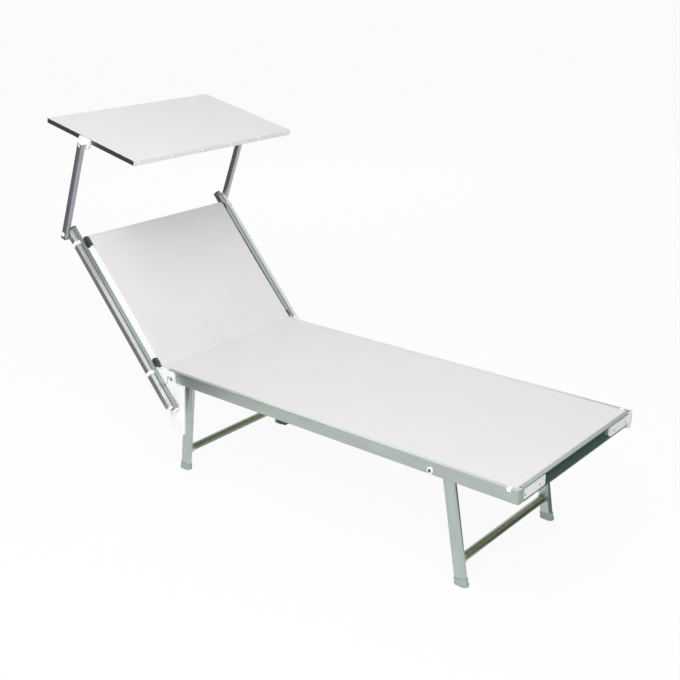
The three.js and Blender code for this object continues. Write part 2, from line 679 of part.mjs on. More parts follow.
// Curved slot for the lock pin, with a notch for each place of the back
function lockSlot() {
  const half = LOCK_PIN / 2 + RUNNING_GAP;
  const spread = Math.asin(half / LOCK_RADIUS);
  const arc = (radius, from, to) =>
    arcPoints(-HINGE_X, HINGE_Z, radius, from, to, SMALL_SEGMENTS);
  const slot = plate(outline([
    ...arc(LOCK_RADIUS + half, -BACK_TURN - spread, spread),
    ...arc(LOCK_RADIUS - half, spread, -BACK_TURN - spread),
  ]), seatFrame, -PLATE_OUT - OVERRUN, OVERRUN - PLATE_IN);
  const notches = Array.from({ length: NOTCH_COUNT }, (_, i) => {
    const angle = (-BACK_TURN * i) / (NOTCH_COUNT - 1);
    const reach = LOCK_RADIUS + NOTCH_SHIFT;
    const centre = backFrame.origin.clone()
      .add(sideways(Math.cos(angle), Math.sin(angle)).multiplyScalar(reach));
    return through(NOTCH_RADIUS, centre, PLATE_OUT, PLATE_IN);
  });
  return join(slot, ...notches);
}

// Hinge plate: an ear for the back, a boss over the rail's end and a lobe under it
const fromHinge = (x) => x - HINGE_X;

function hingePlate() {
  const shoulder = RAIL_BOTTOM - PLATE_SHOULDER;
  const low = HINGE_Z - PLATE_LOBE_DROP;
  const neck = HINGE_Z - PLATE_NECK;
  const lobeBack = fromHinge(PLATE_LOBE_BACK);
  const lobeFront = fromHinge(PLATE_LOBE_FRONT);
  const lobeToe = lobeFront - PLATE_LOBE_TAPER;
  const bossFront = PLATE_BOSS_REACH - REAR_AXLE_X;
  const body = plate(outline(roundedOutline([
    [fromHinge(-PLATE_EAR), HINGE_Z - PLATE_EAR, PLATE_EAR],
    [fromHinge(PLATE_EAR / 2), neck, PLATE_RADIUS],
    [lobeBack, neck - PLATE_NECK, PLATE_NECK],
    [lobeBack, low, PLATE_RADIUS],
    [lobeToe, low, PLATE_RADIUS],
    [lobeFront, shoulder, PLATE_RADIUS],
    [bossFront, shoulder, PLATE_SHOULDER],
    [bossFront, INNER_TOP, PLATE_RADIUS],
    [fromHinge(PLATE_EAR), INNER_TOP, PLATE_RADIUS],
    [fromHinge(PLATE_EAR / 2), HINGE_Z + PLATE_EAR, PLATE_RADIUS],
    [fromHinge(-PLATE_EAR), HINGE_Z + PLATE_EAR, PLATE_EAR],
  ])), seatFrame, -PLATE_OUT, -PLATE_IN);
  const end = -SEAT_LENGTH - GAP;
  const flange = block(end - PLATE_FLANGE, end, -PLATE_IN - PLATE_THICK / 2, -RAIL_INSIDE,
    RAIL_BOTTOM, INNER_TOP - GAP);
  const pocketLow = low + PLATE_POCKET_DROP;
  const pocket = plate(outline(roundedOutline([
    [lobeBack + PLATE_RIM, neck - PLATE_NECK, PLATE_RADIUS],
    [lobeBack + PLATE_RIM, pocketLow, PLATE_RIM],
    [lobeToe - PLATE_RIM, pocketLow, PLATE_RIM],
    [lobeFront - PLATE_RIM, shoulder - PLATE_RIM, PLATE_RIM],
    [bossFront, shoulder - PLATE_RIM, PLATE_RIM],
  ])), seatFrame, -PLATE_OUT - OVERRUN, PLATE_POCKET - PLATE_OUT);
  const hole = (diameter, clearance, centre) =>
    through(diameter / 2 + clearance, centre, PLATE_OUT, PLATE_IN);
  const rivetSeat = rod(RIVET_HEAD / 2 + GAP, rearAxle, -PLATE_OUT - OVERRUN,
    RIVET_HEAD_HEIGHT + GAP - PLATE_OUT);
  const holeZ = low + PLATE_HOLE_EDGE;
  return cut(
    join(body, flange, railPlug(end - PLATE_FLANGE / 2, end + PLATE_PLUG)),
    pocket,
    lockSlot(),
    rivetSeat,
    hole(RIVET, GAP, rearAxle),
    hole(HINGE_PIN, RUNNING_GAP, backFrame.origin),
    hole(PLATE_HOLE, 0, sideways(lobeBack + PLATE_HOLE_EDGE, holeZ)),
    hole(PLATE_HOLE, 0, sideways(lobeToe - PLATE_HOLE_EDGE, holeZ)),
  );
}

// Back rail: rectangular tube with the lock pin pressed into its lower end
function backRail() {
  const tube = rectTube(backFrame, -BACK_RAIL_OUT, -BACK_RAIL_IN, BACK_RAIL_HEIGHT, TUBE_WALL,
    -BACK_RAIL_DOWN, BACK_RAIL_UP);
  const lockPin = rod(LOCK_PIN / 2, place(backFrame, -LOCK_RADIUS, 0), -BACK_RAIL_OUT,
    -PLATE_IN - GAP, SMALL_SEGMENTS);
  const pinHole = through(HINGE_PIN / 2 + GAP, backFrame.origin, BACK_RAIL_OUT, BACK_RAIL_IN);
  return join(cut(tube, pinHole), lockPin);
}

// Hinge pin: domed head inside the plate, shank out through the plate and the back rail
function hingePin() {
  const head = GAP - PLATE_IN;
  return turned([
    [0, GAP - BACK_RAIL_OUT],
    [HINGE_PIN / 2, GAP - BACK_RAIL_OUT],
    [HINGE_PIN / 2, head],
    [HINGE_PIN_HEAD / 2, head],
    [HINGE_PIN_HEAD / 2, head + HINGE_PIN_HEAD_HEIGHT / 2],
    [HINGE_PIN_HEAD / 3, head + HINGE_PIN_HEAD_HEIGHT],
    [0, head + HINGE_PIN_HEAD_HEIGHT],
  ], backFrame.origin, SMALL_SEGMENTS);
}

// Cross tubes of the back, and the fitting between a tube's end and the rail
const backTube = (u) => pipe(BACK_TUBE / 2, TUBE_WALL, place(backFrame, u, BACK_TUBE_RISE),
  -BACK_TUBE_HALF, BACK_TUBE_HALF);

function tubeFitting(u) {
  const bore = BACK_TUBE / 2 - TUBE_WALL - GAP;
  const face = RUNNING_GAP - PLATE_IN;
  const end = -BACK_TUBE_HALF - GAP;
  return turned([
    [0, GAP - BACK_RAIL_IN],
    [FITTING_BOSS / 2, GAP - BACK_RAIL_IN],
    [FITTING_BOSS / 2, face],
    [FITTING_COLLAR / 2 - FITTING_CHAMFER, face],
    [FITTING_COLLAR / 2, face + FITTING_CHAMFER],
    [FITTING_COLLAR / 2, end],
    [bore, end],
    [bore, end + FITTING_SPIGOT],
    [0, end + FITTING_SPIGOT],
  ], place(backFrame, u, BACK_TUBE_RISE));
}

// Back fabric: a sleeve around each tube and a sheet between them with drawn-in sides
function backFabric() {
  const half = BACK_FABRIC_HALF;
  const edge = (side) => Array.from({ length: WAIST_SEGMENTS + 1 }, (_, i) => {
    const share = i / WAIST_SEGMENTS;
    const pull = BACK_FABRIC_WAIST * Math.sin(2 * QUARTER * share);
    const up = BACK_TUBE_LOW + (BACK_TUBE_HIGH - BACK_TUBE_LOW) * share;
    return new THREE.Vector2(side * (half - pull), up);
  });
  const sheet = prism(outline([...edge(1), ...edge(-1).reverse()]),
    place(backFrame, 0, BACK_FABRIC_RISE - FABRIC), backFrame.v, backFrame.u, FABRIC);
  const sleeve = (u) => pipe(BACK_TUBE / 2 + GAP + FABRIC, FABRIC,
    place(backFrame, u, BACK_TUBE_RISE), -half, half);
  return join(sheet, sleeve(BACK_TUBE_LOW), sleeve(BACK_TUBE_HIGH));
}

// Canopy support bar: rectangular tube with a round head about the arm's bolt
function supportBar() {
  const radius = BACK_RAIL_HEIGHT / 2;
  const tube = rectTube(backFrame, -BAR_OUT, -BAR_IN, BACK_RAIL_HEIGHT, TUBE_WALL, -BAR_DOWN,
    BAR_UP + radius);
  const roundHead = join(
    rod(radius, armFrame.origin, -BAR_OUT - OVERRUN, OVERRUN - BAR_IN),
    bar(outline(rectangle(-BAR_OUT - OVERRUN, OVERRUN - BAR_IN, -BACK_RAIL_HEIGHT,
      BACK_RAIL_HEIGHT)), backFrame, 0, -BAR_DOWN - OVERRUN, BAR_UP),
  );
  return cut(
    tube.intersect(roundHead),
    through(BOLT / 2 + GAP, armFrame.origin, BAR_OUT, BAR_IN),
  );
}

// Cap in the lower end of a support bar
function barCap() {
  const half = BACK_RAIL_HEIGHT / 2;
  const end = -BAR_DOWN - GAP;
  const inset = TUBE_WALL + GAP;
  return join(
    bar(outline(roundedBox(-BAR_OUT, -BAR_IN, -half, half, TUBE_WALL)), backFrame, 0,
      end - BAR_CAP, end),
    bar(outline(rectangle(inset - BAR_OUT, -BAR_IN - inset, inset - half, half - inset)),
      backFrame, 0, end - BAR_CAP / 2, end + BAR_CAP_PLUG),
  );
}

// Clip: a band around the support bar that lies against the back rail
function barClip(u) {
  const outer = -BAR_OUT - GAP;
  const inner = GAP - BAR_IN;
  const half = BACK_RAIL_HEIGHT / 2 + GAP;
  const shape = outline(
    roundedBox(outer - CLIP_WALL, inner + CLIP_WALL, -half - CLIP_WALL, half + CLIP_WALL,
      CLIP_WALL),
    roundedBox(outer, inner, -half, half, CLIP_WALL / 2),
  );
  return bar(shape, backFrame, 0, u - CLIP_LENGTH / 2, u + CLIP_LENGTH / 2);
}

// Bolt: domed head outside at y0, plain shank, flat nut inside at y1
function bolt(centre, y0, y1) {
  return turned([
    [0, y0 - BOLT_HEAD_HEIGHT],
    [BOLT_HEAD / 4, y0 - BOLT_HEAD_HEIGHT],
    [BOLT_HEAD / 2, y0 - BOLT_HEAD_HEIGHT / 3],
    [BOLT_HEAD / 2, y0],
    [BOLT / 2, y0],
    [BOLT / 2, y1],
    [BOLT_HEAD / 2, y1],
    [BOLT_HEAD / 2, y1 + BOLT_NUT_HEIGHT],
    [0, y1 + BOLT_NUT_HEIGHT],
  ], centre, SMALL_SEGMENTS);
}

// Canopy arm: rectangular tube with a bolt hole near each end
function canopyArm() {
  const hole = (centre) => through(BOLT / 2 + RUNNING_GAP, centre, ARM_OUT, ARM_IN);
  return cut(
    rectTube(armFrame, -ARM_OUT, -ARM_IN, ARM_DEEP, TUBE_WALL, -ARM_TAIL,
      ARM_LENGTH + ARM_HEAD, ARM_CORNER),
    hole(armFrame.origin),
    hole(canopyFrame.origin),
  );
}

// Canopy frame: heights are measured from its pivot, which lies under the side tubes
const TUBE_LOW = CANOPY_PIVOT_DROP;
const TUBE_HIGH = TUBE_LOW + CANOPY_TUBE;
const CANOPY_TOP = TUBE_HIGH + GAP + FABRIC;
const CANOPY_REAR = -CANOPY_PIVOT_BACK;
const CANOPY_FRONT = CANOPY_REAR + CANOPY_DEPTH;
const CANOPY_EDGE = ARM_IN - ARM_SIDE_GAP - CLAMP_WALL - GAP;
const CANOPY_INNER = CANOPY_EDGE - CANOPY_TUBE;
const FRAME_REAR = CANOPY_REAR + FABRIC + GAP;
const FRAME_FRONT = CANOPY_FRONT - FABRIC - GAP;
const crossTubeStarts = [FRAME_REAR, FRAME_FRONT - CANOPY_TUBE];

function canopySection(x) {
  return outline(
    roundedBox(x, x + CANOPY_TUBE, TUBE_LOW, TUBE_HIGH, CANOPY_WALL),
    roundedBox(x + CANOPY_WALL, x + CANOPY_TUBE - CANOPY_WALL, TUBE_LOW + CANOPY_WALL,
      TUBE_HIGH - CANOPY_WALL, CANOPY_WALL / 3),
  );
}

// A side tube carries a square spigot for each cross tube
function canopySideTube() {
  const inset = CANOPY_WALL + GAP;
  const spigots = crossTubeStarts.map((u) => plate(
    outline(rectangle(u + inset, u + CANOPY_TUBE - inset, TUBE_LOW + inset, TUBE_HIGH - inset)),
    canopyFrame, -CANOPY_INNER - CANOPY_WALL, CANOPY_SPIGOT - CANOPY_INNER,
  ));
  return join(bar(canopySection(-CANOPY_EDGE), canopyFrame, 0, FRAME_REAR, FRAME_FRONT),
    ...spigots);
}

const canopyCrossTube = (u) =>
  plate(canopySection(u), canopyFrame, GAP - CANOPY_INNER, CANOPY_INNER - GAP);

// Canopy fabric: flat over the frame, turned down over the front and rear tubes
function canopyFabric() {
  const low = CANOPY_TOP - CANOPY_FLAP;
  const points = [
    [CANOPY_REAR, low],
    [CANOPY_REAR + FABRIC, low],
    [CANOPY_REAR + FABRIC, CANOPY_TOP - FABRIC],
    [CANOPY_FRONT - FABRIC, CANOPY_TOP - FABRIC],
    [CANOPY_FRONT - FABRIC, low],
    [CANOPY_FRONT, low],
    [CANOPY_FRONT, CANOPY_TOP],
    [CANOPY_REAR, CANOPY_TOP],
  ].map(([u, v]) => new THREE.Vector2(u, v));
  return plate(outline(points), canopyFrame, -CANOPY_EDGE, CANOPY_EDGE);
}

// Clamp: a cheek outside the side tube, and a block under it around the pivot
const CLAMP_FACE = CANOPY_EDGE + GAP;
const CLAMP_OUT = CLAMP_FACE + CLAMP_WALL;
const CLAMP_IN = CLAMP_OUT - CLAMP_BLOCK;

function canopyClamp() {
  const back = -CLAMP_BEHIND;
  const front = back + CLAMP_LENGTH;
  const shelf = TUBE_LOW - GAP;
  const ear = [[-CLAMP_EAR, -CLAMP_EAR, CLAMP_EAR], [CLAMP_EAR, -CLAMP_EAR, CLAMP_EAR]];
  const cheek = plate(outline(roundedOutline([
    [back, TUBE_LOW, CLAMP_RADIUS],
    ...ear,
    [front, TUBE_LOW, CLAMP_RADIUS],
    [front, TUBE_HIGH, CLAMP_RADIUS],
    [back, TUBE_HIGH, CLAMP_RADIUS],
  ])), canopyFrame, -CLAMP_OUT, -CLAMP_FACE);
  const under = plate(outline(roundedOutline([
    [back + CLAMP_WALL, shelf - CLAMP_RADIUS, CLAMP_RADIUS],
    ...ear,
    [front - CLAMP_WALL, shelf - CLAMP_RADIUS, CLAMP_RADIUS],
    [front - CLAMP_WALL, shelf, CLAMP_RADIUS / 4],
    [back + CLAMP_WALL, shelf, CLAMP_RADIUS / 4],
  ])), canopyFrame, -CLAMP_FACE - CLAMP_WALL / 2, -CLAMP_IN);
  return cut(
    join(cheek, under),
    through(BOLT / 2 + RUNNING_GAP, canopyFrame.origin, CLAMP_OUT, CLAMP_IN),
  );
}

// Seat frame
addPair('seat_rail', sideRail(), anodised);
add('foot_rail', footRail(), anodised());
add('rail_end_cap_right', endCap(), nylonGrey());
add('rail_end_cap_left', mirrored(join(endCap(), endStop())), nylonWhite());
addPair('corner_plate', cornerPlate(), nylonWhite);
add('seat_fabric', seatFabric(), woven());
add('mid_tube', midTube(), anodised());
add('front_axle', axle(frontAxle, HALF_WIDTH + GAP), anodised());
add('rear_axle', axle(rearAxle, PLATE_OUT - RIVET_HEAD_HEIGHT), anodised());
addPair('hinge_plate', hingePlate(), nylonWhite);

// Leg frames
const legFrames = {
  front: legFrame(FRONT_AXLE_X, LEG_LEAN),
  rear: legFrame(REAR_AXLE_X, -LEG_LEAN),
};
for (const [end, frame] of Object.entries(legFrames)) {
  addPair(`${end}_leg_bracket`, legBracket(frame), nylonWhite);
  addPair(`${end}_leg`, leg(frame), anodised);
  addPair(`${end}_foot`, legFoot(frame), nylonGrey);
  add(`${end}_stretcher`, pipe(STRETCHER / 2, TUBE_WALL, stretcherCentre(frame),
    GAP - LEG_INNER, LEG_INNER - GAP), anodised());
}

// Back
addPair('back_rail', backRail(), anodised);
addPair('hinge_pin', hingePin(), steel);
for (const [level, u] of [['low', BACK_TUBE_LOW], ['high', BACK_TUBE_HIGH]]) {
  add(`back_tube_${level}`, backTube(u), anodised());
  addPair(`tube_fitting_${level}`, tubeFitting(u), nylonDark);
}
add('back_fabric', backFabric(), woven());
addPair('support_bar', supportBar(), anodised);
addPair('bar_clip_low', barClip(CLIP_LOW), nylonWhite);
addPair('bar_clip_high', barClip(CLIP_HIGH), nylonWhite);
addPair('bar_cap', barCap(), nylonWhite);
addPair('arm_bolt', bolt(armFrame.origin, -ARM_OUT - GAP, GAP - BAR_IN), nylonWhite);

// Canopy
addPair('canopy_arm', canopyArm(), anodised);
addPair('clamp_bolt', bolt(canopyFrame.origin, -ARM_OUT - GAP, GAP - CLAMP_IN), nylonWhite);
addPair('canopy_side_tube', canopySideTube(), anodised);
add('canopy_rear_tube', canopyCrossTube(crossTubeStarts[0]), anodised());
add('canopy_front_tube', canopyCrossTube(crossTubeStarts[1]), anodised());
addPair('canopy_clamp', canopyClamp(), nylonWhite);
add('canopy_fabric', canopyFabric(), woven());

// The origin goes to the ground, under the middle of the whole
const bounds = new THREE.Box3().setFromObject(lounger);
const middle = bounds.getCenter(new THREE.Vector3());
for (const piece of lounger.children) {
  piece.geometry.translate(-middle.x, -middle.y, -bounds.min.z);
  piece.geometry.computeVertexNormals();
}

export default lounger;
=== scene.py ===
import json
import math

import bmesh
import bpy
from mathutils import Matrix, Vector


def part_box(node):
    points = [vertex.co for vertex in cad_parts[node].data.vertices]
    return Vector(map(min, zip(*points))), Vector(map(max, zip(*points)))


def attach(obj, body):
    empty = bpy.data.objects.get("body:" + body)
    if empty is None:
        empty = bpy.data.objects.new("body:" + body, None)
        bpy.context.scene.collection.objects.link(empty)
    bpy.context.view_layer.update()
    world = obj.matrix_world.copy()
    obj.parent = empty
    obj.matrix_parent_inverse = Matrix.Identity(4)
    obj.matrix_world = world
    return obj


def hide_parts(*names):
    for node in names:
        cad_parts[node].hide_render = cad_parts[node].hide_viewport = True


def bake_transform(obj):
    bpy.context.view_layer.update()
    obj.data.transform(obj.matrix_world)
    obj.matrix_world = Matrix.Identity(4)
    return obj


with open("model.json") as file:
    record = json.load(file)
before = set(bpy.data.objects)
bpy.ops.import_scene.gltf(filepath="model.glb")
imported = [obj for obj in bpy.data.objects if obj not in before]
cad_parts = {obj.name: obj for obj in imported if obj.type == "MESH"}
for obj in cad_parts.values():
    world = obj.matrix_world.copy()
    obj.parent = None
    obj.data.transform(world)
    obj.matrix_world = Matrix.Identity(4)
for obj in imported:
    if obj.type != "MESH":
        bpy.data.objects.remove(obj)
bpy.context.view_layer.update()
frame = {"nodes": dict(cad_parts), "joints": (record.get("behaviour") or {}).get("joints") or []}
scene = bpy.context.scene
nodes = frame["nodes"]
joints = {joint["name"]: joint for joint in frame["joints"]}

# Places that the sheets and fasteners are fitted to
BACK_ANGLE = math.radians(49.5)
CANOPY_ANGLE = math.radians(12.5)
ARM_LEAN = math.radians(23.3)
LEG_LEAN = math.radians(8.72)
FOOT_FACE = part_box("foot_rail")[1].x
SEAT_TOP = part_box("foot_rail")[1].z
RAIL_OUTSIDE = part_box("seat_rail_left")[1].y
RAIL_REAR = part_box("seat_rail_left")[0].x
SHEET_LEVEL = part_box("seat_fabric")[1].z - 0.0006
HINGE = Vector(joints["back_recline"]["pos_m"])
CANOPY_PIVOT = Vector(joints["canopy_tilt"]["pos_m"])
ARM_PIVOT = Vector(joints["canopy_arms_swing"]["pos_m"])
FRONT_AXLE = Vector(joints["front_legs_fold"]["pos_m"])
BACK_UP = Vector((-math.cos(BACK_ANGLE), 0, math.sin(BACK_ANGLE)))
BACK_OUT = Vector((math.sin(BACK_ANGLE), 0, math.cos(BACK_ANGLE)))
CANOPY_FORWARD = Vector((math.cos(CANOPY_ANGLE), 0, -math.sin(CANOPY_ANGLE)))
CANOPY_UP = Vector((math.sin(CANOPY_ANGLE), 0, math.cos(CANOPY_ANGLE)))
ARM_UP = Vector((math.sin(ARM_LEAN), 0, math.cos(ARM_LEAN)))
ARM_BACK = Vector((-math.cos(ARM_LEAN), 0, math.sin(ARM_LEAN)))
FORWARD = Vector((1, 0, 0))
LEFT = Vector((0, 1, 0))
UP = Vector((0, 0, 1))
SIDES = (("right", -1), ("left", 1))

# The back's two cross tubes, from the hinge: along the rails, and square to them
LOW_TUBE = 0.028
HIGH_TUBE = 0.501
TUBE_RISE = 0.008
CLOTH = 0.0009
TUBE_ROUND = 0.0139  # from the middle of a back tube to the middle of the cloth on it
BACK_SHEET_RISE = TUBE_RISE + TUBE_ROUND


def on_back(up, out, across=0.0):
    return HINGE + BACK_UP * up + BACK_OUT * out + LEFT * across


def on_canopy(forward, up, across=0.0):
    return CANOPY_PIVOT + CANOPY_FORWARD * forward + CANOPY_UP * up + LEFT * across


# Finishes


class Nodes:
    """A material's node tree, with short calls for the nodes that the finishes share."""

    def __init__(self, name, color, roughness, metallic=0.0):
        self.material = bpy.data.materials.new(name)
        self.material.use_nodes = True
        self.material.diffuse_color = (*color, 1)
        self.tree = self.material.node_tree
        self.shader = self.tree.nodes["Principled BSDF"]
        self.shader.inputs["Base Color"].default_value = (*color, 1)
        self.shader.inputs["Roughness"].default_value = roughness
        self.shader.inputs["Metallic"].default_value = metallic

    def add(self, kind, **values):
        node = self.tree.nodes.new(kind)
        for name, value in values.items():
            setattr(node, name, value)
        return node

    def link(self, output, target):
        self.tree.links.new(output, target)

    def math(self, operation, first, second=0.0):
        node = self.add("ShaderNodeMath", operation=operation)
        for socket, value in zip(node.inputs, (first, second)):
            if isinstance(value, (int, float)):
                socket.default_value = value
            else:
                self.link(value, socket)
        return node.outputs[0]

    def place(self, kind="Object", *, size, turn=(0, 0, 0)):
        """Texture space where one unit is size metres along a piece that is turned so."""
        source = self.add("ShaderNodeTexCoord")
        mapping = self.add("ShaderNodeMapping", vector_type="TEXTURE")
        mapping.inputs["Rotation"].default_value = turn
        mapping.inputs["Scale"].default_value = size
        self.link(source.outputs[kind], mapping.inputs["Vector"])
        return mapping.outputs["Vector"]

    def noise(self, vector, detail=3):
        node = self.add("ShaderNodeTexNoise")
        node.inputs["Scale"].default_value = 1
        node.inputs["Detail"].default_value = detail
        self.link(vector, node.inputs["Vector"])
        return node.outputs["Fac"]

    def ramp(self, value, stops):
        """A color between two stops, each with its position and its color."""
        node = self.add("ShaderNodeValToRGB")
        for point, (position, color) in zip(node.color_ramp.elements, stops):
            point.position = position
            point.color = (*color, 1)
        self.link(value, node.inputs["Fac"])
        return node.outputs["Color"]

    def spread(self, value, low, high):
        node = self.add("ShaderNodeMapRange")
        node.inputs["To Min"].default_value = low
        node.inputs["To Max"].default_value = high
        self.link(value, node.inputs["Value"])
        return node.outputs["Result"]

    def axes(self):
        """The place in the piece's own space, as separate x, y and z."""
        source = self.add("ShaderNodeTexCoord")
        split = self.add("ShaderNodeSeparateXYZ")
        self.link(source.outputs["Object"], split.inputs[0])
        return split.outputs[0], split.outputs[1], split.outputs[2]

    def step(self, value, start, end):
        """0 before start, 1 after end, and even between them."""
        node = self.add("ShaderNodeMapRange")
        node.inputs["From Min"].default_value = start
        node.inputs["From Max"].default_value = end
        self.link(value, node.inputs["Value"])
        return node.outputs["Result"]

    def mixed(self, share, first, second):
        node = self.add("ShaderNodeMix", data_type="RGBA")
        self.link(share, node.inputs[0])
        self.link(first, node.inputs[6])
        node.inputs[7].default_value = (*second, 1)
        return node.outputs[2]

    def bump(self, height, strength, distance):
        node = self.add("ShaderNodeBump")
        node.inputs["Strength"].default_value = strength
        node.inputs["Distance"].default_value = distance
        self.link(height, node.inputs["Height"])
        self.link(node.outputs["Normal"], self.shader.inputs["Normal"])


def shade(color, factor):
    return tuple(min(1.0, channel * factor) for channel in color)


RECESS_MOUTH = (0.0015, 0.0055)  # behind the foot face, where the shade comes in
RECESS_WALL = (0.0104, 0.0094)  # and where it ends, behind the recess's back wall
RECESS_ROOF = (0.0012, 0.003)  # under the top of the rail
SADDLE_STARTS = (0.2486, 0.2492)  # from the middle of the lounger


def painted_recess_shade(finish):
    """1 in the open side of the foot rail, where shade is painted in, 0 on its lips."""
    x, _, z = finish.axes()
    mouth = finish.step(x, *(FOOT_FACE - depth for depth in RECESS_MOUTH))
    wall = finish.step(x, *(FOOT_FACE - depth for depth in RECESS_WALL))
    roof = finish.step(z, *(SEAT_TOP - depth for depth in RECESS_ROOF))
    return finish.math("MULTIPLY", finish.math("MULTIPLY", mouth, wall), roof)


def saddle_ends(finish):
    """1 on the saddles at the ends of the cross tube under the seat, which are drawn dark."""
    _, y, _ = finish.axes()
    return finish.step(finish.math("ABSOLUTE", y), *SADDLE_STARTS)


DIE_LINE = (0.5, 0.0016, 0.0016)  # length, width and height of the marks that drawing leaves
FILM_CLOUD = (0.11, 0.03, 0.03)


def anodised(name, color, roughness, turn, dark_at=None, dark=None):
    """Drawn aluminium, with die lines along the piece and a cloudy anodised film.

    dark_at is the function that finds a darker place on the piece, and dark is its color: painted
    shade in the foot rail's recess, and the dark saddles at the mid tube's ends.
    """
    finish = Nodes(name, color, roughness, metallic=0.8)
    lines = finish.noise(finish.place(size=DIE_LINE, turn=turn), detail=4)
    film = finish.noise(finish.place(size=FILM_CLOUD, turn=turn), detail=2)
    both = finish.math("ADD", finish.math("MULTIPLY", lines, 0.6),
                       finish.math("MULTIPLY", film, 0.4))
    surface_color = finish.ramp(both, [(0.3, shade(color, 0.88)), (0.7, shade(color, 1.12))])
    if dark_at:
        surface_color = finish.mixed(dark_at(finish), surface_color, dark)
    finish.link(surface_color, finish.shader.inputs["Base Color"])
    finish.link(
        finish.spread(both, roughness - 0.08, roughness + 0.08),
        finish.shader.inputs["Roughness"],
    )
    finish.bump(lines, 0.12, 0.0001)
    return finish.material


FLOW_MARK = 0.03
SPARK_GRAIN = 0.0006


def moulded_nylon(name, color, roughness=0.42):
    """Injection moulded nylon with a fine spark-eroded skin and slight flow marks."""
    finish = Nodes(name, color, roughness)
    flow = finish.noise(finish.place(size=(FLOW_MARK,) * 3), detail=2)
    skin = finish.noise(finish.place(size=(SPARK_GRAIN,) * 3), detail=2)
    finish.link(
        finish.ramp(flow, [(0.3, shade(color, 0.965)), (0.7, shade(color, 1.02))]),
        finish.shader.inputs["Base Color"],
    )
    finish.link(finish.spread(skin, roughness - 0.06, roughness + 0.1),
                finish.shader.inputs["Roughness"])
    finish.bump(skin, 0.1, 0.00008)
    return finish.material


ZINC_GRAIN = 0.002


def plated_steel(name, color, roughness):
    """Zinc plated steel with a faint spangle."""
    finish = Nodes(name, color, roughness, metallic=0.9)
    spangle = finish.noise(finish.place(size=(ZINC_GRAIN,) * 3), detail=3)
    finish.link(
        finish.ramp(spangle, [(0.35, shade(color, 0.85)), (0.65, shade(color, 1.1))]),
        finish.shader.inputs["Base Color"],
    )
    finish.link(finish.spread(spangle, roughness - 0.07, roughness + 0.12),
                finish.shader.inputs["Roughness"])
    return finish.material


WEAVE_PITCH = 0.0012
SLUB = (0.25, 0.0024, 1)  # a thicker stretch of one thread
CLOTH_CLOUD = (0.16, 0.16, 1)


def woven_mesh(name, color):
    """Coated yarn in a plain weave, on the cloth's own UV map, which is in metres."""
    finish = Nodes(name, color, 0.78)
    finish.shader.inputs["Specular IOR Level"].default_value = 0.3
    finish.shader.inputs["Sheen Weight"].default_value = 0.06
    finish.shader.inputs["Sheen Roughness"].default_value = 0.5
    threads = finish.add("ShaderNodeSeparateXYZ")
    finish.link(finish.place("UV", size=(WEAVE_PITCH / math.pi,) * 3), threads.inputs[0])
    warp = finish.math("SINE", threads.outputs["X"])
    weft = finish.math("SINE", threads.outputs["Y"])
    over = finish.spread(finish.math("MULTIPLY", warp, weft), 0.0, 1.0)
    slub = finish.noise(finish.place("UV", size=SLUB), detail=2)
    cloud = finish.noise(finish.place("UV", size=CLOTH_CLOUD), detail=3)
    tone = finish.math(
        "ADD",
        finish.math("MULTIPLY", over, 0.3),
        finish.math("ADD", finish.math("MULTIPLY", slub, 0.35),
                    finish.math("MULTIPLY", cloud, 0.35)),
    )
    finish.link(
        finish.ramp(tone, [(0.2, shade(color, 0.94)), (0.8, shade(color, 1.05))]),
        finish.shader.inputs["Base Color"],
    )
    finish.bump(over, 0.2, 0.00018)
    return finish.material


THREAD_TWIST = 0.0007


def spun_thread(name, color):
    """Twisted polyester thread."""
    finish = Nodes(name, color, 0.6)
    twist = finish.noise(finish.place(size=(THREAD_TWIST,) * 3), detail=2)
    finish.link(finish.ramp(twist, [(0.3, shade(color, 0.85)), (0.7, shade(color, 1.1))]),
                finish.shader.inputs["Base Color"])
    finish.bump(twist, 0.3, 0.0001)
    return finish.material


# Turns of a texture's long side, from the frame's x axis to the piece's own direction
ALONG = (0, 0, 0)
ACROSS = (0, 0, math.pi / 2)
ALONG_BACK = (0, BACK_ANGLE, 0)
ALONG_CANOPY = (0, CANOPY_ANGLE, 0)
ALONG_ARM = (0, ARM_LEAN - math.pi / 2, 0)
ALONG_FRONT_LEG = (0, math.pi / 2 - LEG_LEAN, 0)
ALONG_REAR_LEG = (0, math.pi / 2 + LEG_LEAN, 0)

RAIL_GREY = (0.43, 0.48, 0.45)
# The foot rail is the side rails' extrusion; its grey is RAIL_GREY darkened as painted shade.
FOOT_RAIL_SHADE_GREY = (0.31, 0.355, 0.325)
LEG_GREY = (0.44, 0.50, 0.465)
TUBE_GREY = (0.30, 0.34, 0.31)
# The stretchers' grey is the cross tubes' grey darkened as painted shade, with an olive cast as
# painted reflection.
STRETCHER_SHADE_GREY = (0.21, 0.25, 0.17)
BACK_GREY = (0.36, 0.43, 0.40)
BAR_GREY = (0.66, 0.66, 0.67)
ARM_GREY = (0.43, 0.44, 0.49)
CANOPY_GREY = (0.16, 0.175, 0.165)
white_nylon = moulded_nylon("white nylon", (0.90, 0.905, 0.89))
grey_nylon = moulded_nylon("grey nylon", (0.35, 0.42, 0.385), 0.5)
dark_nylon = moulded_nylon("dark nylon", (0.055, 0.062, 0.055), 0.48)
bright_steel = plated_steel("zinc plated steel", (0.62, 0.63, 0.62), 0.3)
cloth_white = woven_mesh("off-white woven sheet", (0.78, 0.77, 0.76))
thread_white = spun_thread("off-white thread", (0.70, 0.69, 0.675))

cross_tube = anodised("anodised tube across", TUBE_GREY, 0.36, ACROSS)
stretcher_tube = anodised("anodised stretcher", STRETCHER_SHADE_GREY, 0.3, ACROSS)
canopy_tube = anodised("anodised canopy tube", CANOPY_GREY, 0.3, ACROSS)

